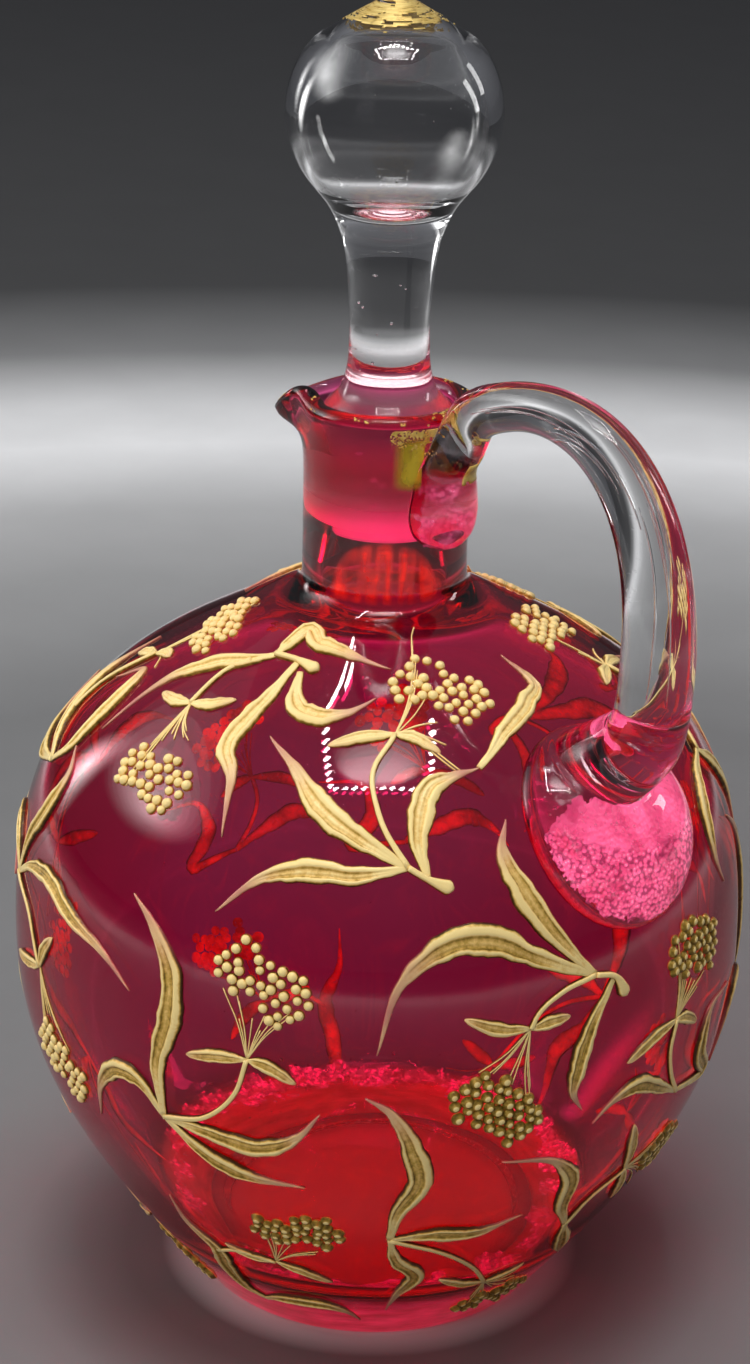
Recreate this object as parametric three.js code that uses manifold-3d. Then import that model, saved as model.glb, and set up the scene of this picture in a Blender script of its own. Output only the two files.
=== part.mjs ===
// A blown cranberry glass decanter: a round bottle with a pinched pouring lip, an applied clear handle,
// a hollow clear stopper, and sprays of raised enamel leaves and beads. Millimetres, +Z up.
// The origin is the centre of the foot. The handle stands at +X. Azimuths are degrees, counted from -Y
// towards +X, so the handle is at 90.
import * as THREE from "three";
import { mergeVertices } from "three/addons/utils/BufferGeometryUtils.js";
import Module from "manifold-3d";

const wasm = await Module();
wasm.setup();

// Bottle, from the foot up
const FOOT_RADIUS = 30.5;
const BODY_RADIUS = 62;
const WIDEST_HEIGHT = 66;
const SHOULDER_END_RADIUS = 19.5;
const SHOULDER_END_HEIGHT = 123.6;
const NECK_RADIUS = 13.6;
const NECK_LENGTH = 34.8;
const NECK_FILLET_HEIGHT = 5.4;
const FLARE_LENGTH = 14.4;
const RIM_RADIUS = 14.7;
const BODY_WALL = 2.6;
const FLOOR_THICKNESS = 13;
const LOWER_BORE_RADIUS = 10;

// How far each end of the body's two curves pulls on them
const FOOT_PULL = 26;
const FOOT_SLOPE = 0.75;
const HIP_PULL = 25;
const SHOULDER_PULL = 38;
const SHOULDER_END_PULL = 14;
const SHOULDER_END_SLOPE = 1.84;

// Pouring lip, with the curl of the mouth's edge beside it
const LIP_AZIMUTH = -65;
const LIP_REACH = 5.6;
const LIP_HALF_ANGLE = 25;
const LIP_LENGTH = 11.4;
const LIP_DROP = 3.3;
const CURL_ANGLE = 30;
const CURL_HALF_ANGLE = 13;
const CURL_LIFT = 2.6;

// Stopper, from the plug up
const PLUG_SINK = 2;
const PLUG_LENGTH = 20.2;
const PLUG_TOP_RADIUS = 10.6;
const PLUG_FOOT_RADIUS = 8.5;
const PLUG_FOOT_ROUND = 0.8;
const PLUG_CLEARANCE = 0.3;
const PLUG_SHOULDER_RISE = 4.8;
const WAIST_FOOT_RADIUS = 7.05;
const WAIST_RADIUS = 6.45;
const WAIST_RISE = 11.6;
const WAIST_TOP_RADIUS = 8.4;
const WAIST_FLARE_HEIGHT = 6.8;
const BALL_START_RADIUS = 12.6;
const BALL_RADIUS = 17.15;
const BALL_RISE = 47.6;
const TIP_START_RADIUS = 13.3;
const TIP_RISE = 18.8;
const BALL_WALL = 2.45;
const CAVITY_DROP = 1.2;
const STOPPER_BORE_RADIUS = 4.2;

// Handle
const HANDLE_AZIMUTH = 90;
const HANDLE_INSET = 2.6;
const CROWN_OVERHANG = 20.4;
const CROWN_RISE = 5;
const ARCH_DROP = 33.4;
const ARCH_SQUARENESS = 2.25;
const ROD_RADIUS = 5.8;
const CROWN_HALF_THICKNESS = 3.9;
const CROWN_HALF_WIDTH = 4.3;
const HANDLE_END_RISE = 7;
const HANDLE_END_HALF_WIDTH = 6.8;
const HANDLE_END_HALF_THICKNESS = 2.3;
const HANDLE_END_CLEARANCE = 0.4;
const STRAP_TOP_INSET = 1.1;
const RISE_OUTSET = 1;
const CROWN_START_DROP = 1.3;
const PAD_UP = 81.7;
const PAD_RADIUS = 17;
const PAD_THICKNESS = 6;
const PAD_EDGE_THICKNESS = 0.6;
const ROD_LANDING_RISE = 7;
const ROD_LANDING_RADIUS = 8;

// Enamel and gilding
const CLEARANCE = 0.3;
const LEAF_THICKNESS = 1;
const LEAF_HALF_WIDTH = 2;
const BRACT_HALF_WIDTH = 1.3;
const STEM_HALF_WIDTH = 0.55;
const BEAD_HEIGHT = 1.3;
const BEAD_GROUND = 0.35;
const BEAD_RINGS = 2;
const HEAD_RADIUS = 8;
const STROKE_OVERLAP = 0.7;
const GILDING_THICKNESS = 0.3;
const RIM_GILDING_DEPTH = 1.3;
const RIM_GILDING_SWEEP = 1.9;
const TIP_GILDING_RADIUS = 9.5;

// Mesh fineness
const BOTTLE_SIDES = 36;
const STOPPER_SIDES = 24;
const ROD_SIDES = 12;
const PAD_SIDES = 20;

// Places on the body are drawn on a sheet: degrees round it, and percent of the way up to the shoulder's end.
function onBody(percentUp) {
  return (percentUp / 100) * SHOULDER_END_HEIGHT;
}

// Heights and radii that follow
const neckFootHeight = SHOULDER_END_HEIGHT + NECK_FILLET_HEIGHT;
const rimHeight = SHOULDER_END_HEIGHT + NECK_LENGTH;
const padHeight = onBody(PAD_UP);
const flareStartHeight = rimHeight - FLARE_LENGTH;
const plugTopHeight = rimHeight - PLUG_SINK;
const plugFootHeight = plugTopHeight - PLUG_LENGTH;
const ballHeight = plugTopHeight + BALL_RISE;
const tipHeight = ballHeight + TIP_RISE;
const seatTopRadius = PLUG_TOP_RADIUS + PLUG_CLEARANCE;
const seatFootRadius = PLUG_FOOT_RADIUS + PLUG_CLEARANCE;
const rimEdge = (RIM_RADIUS - seatTopRadius) / 2;
const rimMiddle = (RIM_RADIUS + seatTopRadius) / 2;

const cranberryGlass = new THREE.MeshStandardMaterial({
  color: 0xa01040,
  roughness: 0.05,
  metalness: 0,
  transparent: true,
  opacity: 0.55,
});
const clearGlass = new THREE.MeshStandardMaterial({
  color: 0xe8edf0,
  roughness: 0.05,
  metalness: 0,
  transparent: true,
  opacity: 0.4,
});
const goldEnamel = new THREE.MeshStandardMaterial({
  color: 0xdcc078,
  roughness: 0.4,
  metalness: 0.2,
});
const gilding = new THREE.MeshStandardMaterial({
  color: 0xc8a03c,
  roughness: 0.3,
  metalness: 0.9,
});

const decanter = new THREE.Group();

function add(name, geometry, material) {
  const mesh = new THREE.Mesh(geometry, material);
  mesh.name = name;
  decanter.add(mesh);
}

// Turns a profile of radii and heights round the upright axis.
function turned(profile, sides) {
  return new THREE.LatheGeometry(profile, sides).rotateX(Math.PI / 2);
}

function solidFrom(geometry) {
  const bare = geometry.clone();
  bare.deleteAttribute("normal");
  bare.deleteAttribute("uv");
  const merged = mergeVertices(bare, 1e-4);
  return new wasm.Manifold(
    new wasm.Mesh({
      numProp: 3,
      vertProperties: new Float32Array(merged.attributes.position.array),
      triVerts: new Uint32Array(merged.index.array),
    }),
  );
}

function joined(geometries) {
  const whole = geometries.map(solidFrom).reduce((all, next) => all.add(next));
  const { vertProperties, triVerts } = whole.getMesh();
  return indexedGeometry(Array.from(vertProperties), Array.from(triVerts));
}

function indexedGeometry(coordinates, triangles) {
  const geometry = new THREE.BufferGeometry();
  geometry.setAttribute("position", new THREE.Float32BufferAttribute(coordinates, 3));
  geometry.setIndex(triangles);
  return geometry;
}

// Skin over a row of rings with equal point counts, closed by a fan at each end.
function skinned(rings) {
  const count = rings[0].length;
  const coordinates = rings.flat().flatMap((point) => point.toArray());
  const triangles = [];
  for (let ring = 0; ring + 1 < rings.length; ring++)
    for (let i = 0; i < count; i++) {
      const here = ring * count + i;
      const next = ring * count + ((i + 1) % count);
      triangles.push(here, next, here + count);
      triangles.push(next, next + count, here + count);
    }
  const last = (rings.length - 1) * count;
  for (let i = 1; i + 1 < count; i++) {
    triangles.push(0, i + 1, i);
    triangles.push(last, last + i, last + i + 1);
  }
  return indexedGeometry(coordinates, triangles);
}

// Bottle outline
const foot = new THREE.Vector2(FOOT_RADIUS, 0);
const widest = new THREE.Vector2(BODY_RADIUS, WIDEST_HEIGHT);
const shoulderEnd = new THREE.Vector2(SHOULDER_END_RADIUS, SHOULDER_END_HEIGHT);
const footPull = new THREE.Vector2(FOOT_SLOPE, 1).multiplyScalar(FOOT_PULL);
const hipPull = new THREE.Vector2(0, HIP_PULL);
const shoulderPull = new THREE.Vector2(0, SHOULDER_PULL);
const shoulderEndPull = new THREE.Vector2(SHOULDER_END_SLOPE, -1).multiplyScalar(SHOULDER_END_PULL);
const lowerBody = new THREE.CubicBezierCurve(
  foot,
  foot.clone().add(footPull),
  widest.clone().sub(hipPull),
  widest,
);
const upperBody = new THREE.CubicBezierCurve(
  widest,
  widest.clone().add(shoulderPull),
  shoulderEnd.clone().add(shoulderEndPull),
  shoulderEnd,
);
// The shoulder runs on into the neck in one hollow curve.
const neckFoot = new THREE.Vector2(NECK_RADIUS, neckFootHeight);
const hollowRun = 0.65 * (SHOULDER_END_RADIUS - NECK_RADIUS);
const neckFillet = new THREE.CubicBezierCurve(
  shoulderEnd,
  shoulderEnd.clone().add(new THREE.Vector2(-hollowRun, hollowRun / SHOULDER_END_SLOPE)),
  neckFoot.clone().sub(new THREE.Vector2(0, NECK_FILLET_HEIGHT / 2)),
  neckFoot,
);
const CURVE_STEPS = 100;
const bodyRings = [...lowerBody.getPoints(CURVE_STEPS), ...upperBody.getPoints(CURVE_STEPS).slice(1)];

// Radius of the body's outside at a height, and its outward normal there.
function bodyAt(height) {
  let upper = 1;
  while (upper < bodyRings.length - 1 && bodyRings[upper].y < height) upper++;
  const a = bodyRings[upper - 1];
  const b = bodyRings[upper];
  const share = THREE.MathUtils.clamp((height - a.y) / (b.y - a.y), 0, 1);
  const along = b.clone().sub(a).normalize();
  return {
    radius: a.x + share * (b.x - a.x),
    outward: along.y,
    upward: -along.x,
  };
}

function around(azimuth, radius, height) {
  const angle = THREE.MathUtils.degToRad(azimuth);
  return new THREE.Vector3(radius * Math.sin(angle), -radius * Math.cos(angle), height);
}

// Point above the body's outside, and the outward normal there.
function onGlass(azimuth, height, lift) {
  const { radius, outward, upward } = bodyAt(height);
  const normal = around(azimuth, outward, upward);
  const point = around(azimuth, radius, height).addScaledVector(normal, lift);
  return { point, normal };
}

// Inside of the body: its outside moved in by the wall, above the floor and outside the neck's bore.
function innerBody() {
  const points = [];
  for (const [curve, steps] of [
    [upperBody, 6],
    [lowerBody, 4],
  ])
    for (let i = 0; i < steps; i++) {
      const share = 1 - (i + 0.5) / steps;
      const at = curve.getPoint(share);
      const along = curve.getTangent(share);
      const point = new THREE.Vector2(at.x - along.y * BODY_WALL, at.y + along.x * BODY_WALL);
      const clearOfBore = point.x > LOWER_BORE_RADIUS + BODY_WALL / 2;
      const belowNeck = point.y < SHOULDER_END_HEIGHT;
      const aboveFloor = point.y > FLOOR_THICKNESS + BODY_WALL / 2;
      if (clearOfBore && belowNeck && aboveFloor) points.push(point);
    }
  return points;
}

// The neck widens slowly at first towards the mouth.
function flareRadius(height) {
  const share = THREE.MathUtils.clamp((height - flareStartHeight) / FLARE_LENGTH, 0, 1);
  return NECK_RADIUS + (RIM_RADIUS - NECK_RADIUS) * share ** 2;
}

// Rounded edge of the mouth, from its outside over the top towards its inside.
function rimRound(grow, steps, sweep) {
  const reach = rimEdge + grow;
  const points = [];
  for (let i = 0; i <= steps; i++) {
    const angle = (sweep * i) / steps;
    const radius = rimMiddle + reach * Math.cos(angle);
    points.push(new THREE.Vector2(radius, rimHeight - rimEdge + reach * Math.sin(angle)));
  }
  return points;
}

// Height of a smooth hump of 1 at the offset 0.
function hump(offset, halfAngle) {
  return Math.exp(-((offset / halfAngle) ** 2));
}

const HALF_TURN = 180;

// The mouth is pulled out and down at the pouring lip, and its near edge curls up beside the lip.
function pullLip(geometry) {
  const position = geometry.attributes.position;
  const lipStartHeight = rimHeight - LIP_LENGTH;
  for (let i = 0; i < position.count; i++) {
    const x = position.getX(i);
    const y = position.getY(i);
    const z = position.getZ(i);
    if (z <= lipStartHeight) continue;
    const turn = THREE.MathUtils.radToDeg(Math.atan2(x, -y)) - LIP_AZIMUTH;
    const offset = THREE.MathUtils.euclideanModulo(turn + HALF_TURN, 2 * HALF_TURN) - HALF_TURN;
    const rise = Math.min(1, (z - lipStartHeight) / LIP_LENGTH) ** 2;
    const lip = rise * hump(offset, LIP_HALF_ANGLE);
    const curl = rise * hump(offset - CURL_ANGLE, CURL_HALF_ANGLE);
    const stretch = 1 + (LIP_REACH * lip) / Math.hypot(x, y);
    position.setXYZ(i, x * stretch, y * stretch, z + CURL_LIFT * curl - LIP_DROP * lip);
  }
  return geometry;
}

function bottle() {
  const profile = [new THREE.Vector2(0, 0)];
  profile.push(...lowerBody.getPoints(6));
  profile.push(...upperBody.getPoints(9).slice(1));
  profile.push(...neckFillet.getPoints(3).slice(1));
  for (const share of [0, 0.3, 0.6, 0.8]) {
    const height = flareStartHeight + share * (FLARE_LENGTH - rimEdge);
    profile.push(new THREE.Vector2(flareRadius(height), height));
  }
  profile.push(...rimRound(0, 3, Math.PI));
  for (const share of [0.05, 0.3, 0.6, 1]) {
    const radius = THREE.MathUtils.lerp(seatTopRadius, seatFootRadius, share);
    profile.push(new THREE.Vector2(radius, plugTopHeight - share * PLUG_LENGTH));
  }
  const boreStep = Math.abs(LOWER_BORE_RADIUS - seatFootRadius);
  profile.push(new THREE.Vector2(LOWER_BORE_RADIUS, plugFootHeight - 4 * boreStep));
  profile.push(new THREE.Vector2(LOWER_BORE_RADIUS, SHOULDER_END_HEIGHT));
  profile.push(...innerBody());
  profile.push(new THREE.Vector2(FOOT_RADIUS - BODY_WALL, FLOOR_THICKNESS));
  profile.push(new THREE.Vector2(0, FLOOR_THICKNESS));
  return pullLip(turned(profile, BOTTLE_SIDES));
}

// Height above or below the ball's middle where the ball has a radius.
function ballRise(radius) {
  return Math.sqrt(BALL_RADIUS ** 2 - radius ** 2);
}

// Outside of the stopper from the plug's foot to the tip.
function stopperOutside() {
  const points = [
    new THREE.Vector2(STOPPER_BORE_RADIUS, plugFootHeight),
    new THREE.Vector2(PLUG_FOOT_RADIUS - PLUG_FOOT_ROUND, plugFootHeight),
    new THREE.Vector2(PLUG_FOOT_RADIUS, plugFootHeight + PLUG_FOOT_ROUND),
    new THREE.Vector2(PLUG_TOP_RADIUS, plugTopHeight),
  ];
  const waistHeight = plugTopHeight + WAIST_RISE;
  const waistTopHeight = ballHeight - ballRise(BALL_START_RADIUS) - WAIST_FLARE_HEIGHT;
  const narrow = new THREE.Vector2(WAIST_RADIUS, waistHeight);
  const top = new THREE.Vector2(WAIST_TOP_RADIUS, waistTopHeight);
  const rise = top.clone().lerp(narrow, 0.3);
  rise.x = THREE.MathUtils.lerp(WAIST_RADIUS, WAIST_TOP_RADIUS, 0.3);
  const base = new THREE.Vector2(WAIST_FOOT_RADIUS, plugTopHeight + PLUG_SHOULDER_RISE);
  points.push(...new THREE.SplineCurve([base, narrow, rise, top]).getPoints(6));
  const lowAngle = -Math.acos(BALL_START_RADIUS / BALL_RADIUS);
  const highAngle = Math.acos(TIP_START_RADIUS / BALL_RADIUS);
  for (let i = 0; i <= 8; i++) {
    const angle = THREE.MathUtils.lerp(lowAngle, highAngle, i / 8);
    const height = ballHeight + BALL_RADIUS * Math.sin(angle);
    points.push(new THREE.Vector2(BALL_RADIUS * Math.cos(angle), height));
  }
  points.push(...tipOutline(0, TIP_START_RADIUS).slice(1));
  return points;
}

// The ball's top runs to a low point, from a radius to the axis, and may stand proud of the glass.
function tipOutline(lift, fromRadius) {
  const startHeight = ballHeight + ballRise(TIP_START_RADIUS);
  return [1, 0.6, 0.25, 0].map((share) => {
    const radius = fromRadius * share;
    const run = 1 - radius / TIP_START_RADIUS;
    return new THREE.Vector2(radius, startHeight + (tipHeight - startHeight) * run ** 0.92 + lift);
  });
}

function stopper() {
  const cavityRadius = BALL_RADIUS - BALL_WALL;
  const cavityHeight = ballHeight - CAVITY_DROP;
  const mouthRadius = STOPPER_BORE_RADIUS + BALL_WALL / 2;
  const mouthAngle = -Math.acos(mouthRadius / cavityRadius);
  const inside = [new THREE.Vector2(0, cavityHeight + cavityRadius)];
  for (let i = 1; i <= 7; i++) {
    const angle = THREE.MathUtils.lerp(Math.PI / 2, mouthAngle, i / 7);
    const height = cavityHeight + cavityRadius * Math.sin(angle);
    inside.push(new THREE.Vector2(cavityRadius * Math.cos(angle), height));
  }
  inside.push(new THREE.Vector2(STOPPER_BORE_RADIUS, inside.at(-1).y - BALL_WALL));
  inside.push(new THREE.Vector2(STOPPER_BORE_RADIUS, plugTopHeight));
  return turned([...inside, ...stopperOutside()], STOPPER_SIDES);
}

// Middle line of the handle's rod from its end on the neck, over the crown, to its root in the pad: the
// distance from the bottle's axis, the height, the half width and the half thickness.
function rodStations() {
  const endHeight = neckFootHeight + HANDLE_END_RISE;
  const width = HANDLE_END_HALF_WIDTH;
  const thickness = HANDLE_END_HALF_THICKNESS;
  const onNeck = (height, halfThickness) => flareRadius(height) + HANDLE_END_CLEARANCE + halfThickness;
  const pastRim = RIM_RADIUS + 2 * CLEARANCE + GILDING_THICKNESS + CROWN_HALF_THICKNESS;
  const crownDistance = NECK_RADIUS + CROWN_OVERHANG;
  const crownHeight = rimHeight + CROWN_RISE;
  const stations = [];
  for (const [up, widthShare, thicknessShare] of [
    [0, 0.55, 0.5],
    [0.07, 0.9, 0.9],
    [0.22, 1, 1],
    [0.52, 1, 1],
  ]) {
    const height = THREE.MathUtils.lerp(endHeight, rimHeight, up);
    const distance = onNeck(height, thickness * thicknessShare);
    stations.push([distance, height, width * widthShare, thickness * thicknessShare]);
  }
  const lift = THREE.MathUtils.lerp(endHeight, rimHeight, 0.78);
  stations.push([pastRim - STRAP_TOP_INSET, lift, 0.8 * width, 1.2 * thickness]);
  stations.push([pastRim + RISE_OUTSET, rimHeight, CROWN_HALF_WIDTH, 0.9 * CROWN_HALF_THICKNESS]);
  const rising = THREE.MathUtils.lerp(pastRim, crownDistance, 0.45);
  stations.push([rising, crownHeight - CROWN_START_DROP, CROWN_HALF_WIDTH, CROWN_HALF_THICKNESS]);
  const handleReach = BODY_RADIUS - HANDLE_INSET;
  const archFootHeight = crownHeight - ARCH_DROP;
  for (let i = 0; i <= 8; i++) {
    const angle = (Math.PI / 2) * (i / 8);
    const out = Math.sin(angle) ** (2 / ARCH_SQUARENESS);
    const up = Math.max(0, Math.cos(angle)) ** (2 / ARCH_SQUARENESS);
    stations.push([
      THREE.MathUtils.lerp(crownDistance, handleReach, out),
      THREE.MathUtils.lerp(archFootHeight, crownHeight, up),
      THREE.MathUtils.lerp(CROWN_HALF_WIDTH, ROD_RADIUS, i / 8),
      THREE.MathUtils.lerp(CROWN_HALF_THICKNESS, ROD_RADIUS, i / 8),
    ]);
  }
  const landing = onGlass(HANDLE_AZIMUTH, padHeight + ROD_LANDING_RISE, PAD_THICKNESS / 2).point;
  const landingDistance = Math.hypot(landing.x, landing.y);
  for (const [down, inward, flare] of [
    [0.35, 0.03, 0.1],
    [0.6, 0.1, 0.4],
    [0.8, 0.25, 0.85],
    [1, 1, 1],
  ]) {
    const radius = THREE.MathUtils.lerp(ROD_RADIUS, ROD_LANDING_RADIUS, flare);
    stations.push([
      THREE.MathUtils.lerp(handleReach, landingDistance, inward),
      THREE.MathUtils.lerp(archFootHeight, landing.z, down),
      radius,
      radius,
    ]);
  }
  return stations;
}

// The rod's flat stretches lie round the bottle's axis, as its end does on the neck.
function rod() {
  const stations = rodStations();
  const middles = stations.map(([distance, height]) => new THREE.Vector2(distance, height));
  const rings = stations.map(([, , halfWidth, halfThickness], i) => {
    const before = middles[Math.max(0, i - 1)];
    const after = middles[Math.min(middles.length - 1, i + 1)];
    const along = after.clone().sub(before).normalize();
    const out = new THREE.Vector2(along.y, -along.x);
    const ring = [];
    for (let side = 0; side < ROD_SIDES; side++) {
      const angle = (2 * Math.PI * side) / ROD_SIDES;
      const spot = middles[i].clone().addScaledVector(out, halfThickness * Math.cos(angle));
      const turn = THREE.MathUtils.radToDeg((halfWidth * Math.sin(angle)) / spot.x);
      ring.push(around(HANDLE_AZIMUTH + turn, spot.x, spot.y));
    }
    return ring;
  });
  return skinned(rings);
}

// Round lens of glass laid on the shoulder: its underside follows the body.
function pad() {
  const { point: centre, normal } = onGlass(HANDLE_AZIMUTH, padHeight, 0);
  const across = around(HANDLE_AZIMUTH + 90, 1, 0);
  const up = normal.clone().cross(across);
  const rings = (rise) =>
    [1, 0.97, 0.85, 0.62, 0.32].map((share) => {
      const ring = [];
      for (let side = 0; side < PAD_SIDES; side++) {
        const angle = (2 * Math.PI * side) / PAD_SIDES;
        const flat = centre
          .clone()
          .addScaledVector(across, PAD_RADIUS * share * Math.cos(angle))
          .addScaledVector(up, PAD_RADIUS * share * Math.sin(angle));
        ring.push(seatOnGlass(flat, normal, rise(share)));
      }
      return ring;
    });
  const under = rings(() => 0);
  const over = rings((share) => PAD_EDGE_THICKNESS + PAD_THICKNESS * (1 - share ** 2.4) ** 0.7);
  return skinned([...under.reverse(), ...over]);
}

// Moves a point along a direction until it lies a clearance and a rise above the glass.
function seatOnGlass(start, direction, rise) {
  const point = start.clone();
  for (let step = 0; step < 12; step++) {
    const { radius, outward } = bodyAt(point.z);
    point.addScaledVector(direction, (radius - Math.hypot(point.x, point.y)) * outward);
  }
  return point.addScaledVector(direction, CLEARANCE + rise);
}

// Where a point of the sheet lies on the glass.
function onSheet([azimuth, up], turn, lift) {
  return onGlass(azimuth + turn, onBody(up), lift);
}

// A raised stroke over spots on the glass, as wide as the shares along it, with a ridged back.
function ribbon(spots, halfWidth, shares, thickness) {
  const rings = spots.map(({ point, normal }, i) => {
    const before = spots[Math.max(0, i - 1)].point;
    const after = spots[Math.min(spots.length - 1, i + 1)].point;
    const side = normal.clone().cross(after.clone().sub(before)).normalize();
    return [
      point.clone().addScaledVector(side, -halfWidth * shares[i]),
      point.clone().addScaledVector(side, halfWidth * shares[i]),
      point.clone().addScaledVector(normal, thickness * Math.max(0.4, Math.sqrt(shares[i]))),
    ];
  });
  return skinned(rings);
}

// A smooth stroke through sheet points.
function stroke(points, turn, halfWidth, shares) {
  const line = new THREE.SplineCurve(points.map(([azimuth, up]) => new THREE.Vector2(azimuth, up)));
  const spots = shares.map((_, i) => {
    const at = line.getPoint(i / (shares.length - 1));
    return onSheet([at.x, at.y], turn, CLEARANCE);
  });
  // It starts a little way back, so that strokes from the same point run into each other.
  const [first, second] = spots;
  first.point.add(first.point.clone().sub(second.point).setLength(STROKE_OVERLAP));
  return ribbon(spots, halfWidth, shares, LEAF_THICKNESS);
}

// Shares of the half width along a stroke, from the stem outwards
const leafShares = [0.3, 0.65, 1, 0.85, 0.5, 0.15];
const bractShares = [0.45, 1, 0.6];
const stemShares = [1, 0.9, 0.9, 1];

// The bracts fork from the end of the flower's stem, the last of the stems.
function foliage({ leaves, stems, bracts }, turn) {
  const fork = stems.at(-1).at(-1);
  return joined([
    ...leaves.map((points) => stroke(points, turn, LEAF_HALF_WIDTH, leafShares)),
    ...stems.map((points) => stroke(points, turn, STEM_HALF_WIDTH, stemShares)),
    ...bracts.map((points) => stroke([fork, ...points], turn, BRACT_HALF_WIDTH, bractShares)),
  ]);
}

// A head of beads on a six-sided lattice, each bead a low point, on one thin ground.
function beadHead(head, turn, radius) {
  const { point: centre, normal } = onSheet(head, turn, 0);
  const across = new THREE.Vector3(0, 0, 1).cross(normal).normalize();
  const rise = normal.clone().cross(across);
  const pitch = radius / (BEAD_RINGS + 0.5);
  const coordinates = [];
  const triangles = [];
  const indices = new Map();
  // Lattice points are counted in thirds of the pitch, so that the cells' corners are whole numbers too.
  const vertex = (q, r, lift) => {
    const key = [q, r, lift].join();
    if (!indices.has(key)) {
      const flat = centre
        .clone()
        .addScaledVector(across, (pitch * (q + r / 2)) / 3)
        .addScaledVector(rise, (pitch * r * Math.sqrt(3)) / 6);
      indices.set(key, coordinates.length / 3);
      coordinates.push(...seatOnGlass(flat, normal, lift).toArray());
    }
    return indices.get(key);
  };
  const inHead = (q, r) => Math.max(Math.abs(q), Math.abs(r), Math.abs(q + r)) <= BEAD_RINGS;
  const cellCorners = [
    [1, 1],
    [-1, 2],
    [-2, 1],
    [-1, -1],
    [1, -2],
    [2, -1],
  ];
  // A corner lies on the head's outline where a cell that meets it is missing.
  const onOutline = (q, r) =>
    cellCorners
      .map(([dq, dr]) => [q - dq, r - dr])
      .filter(([a, b]) => a % 3 === 0 && b % 3 === 0)
      .some(([a, b]) => !inHead(a / 3, b / 3));
  const corner = (q, r) => vertex(q, r, onOutline(q, r) ? 0 : BEAD_GROUND);
  const outline = new Map();
  for (let q = -BEAD_RINGS; q <= BEAD_RINGS; q++)
    for (let r = -BEAD_RINGS; r <= BEAD_RINGS; r++) {
      if (!inHead(q, r)) continue;
      const cell = cellCorners.map(([dq, dr]) => corner(3 * q + dq, 3 * r + dr));
      for (let i = 0; i < 6; i++) {
        const from = cell[i];
        const to = cell[(i + 1) % 6];
        triangles.push(vertex(3 * q, 3 * r, BEAD_HEIGHT), from, to);
        if (!outline.delete([to, from].join())) outline.set([from, to].join(), [from, to]);
      }
    }
  for (const [from, to] of outline.values()) triangles.push(vertex(0, 0, 0), to, from);
  return indexedGeometry(coordinates, triangles);
}

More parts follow.
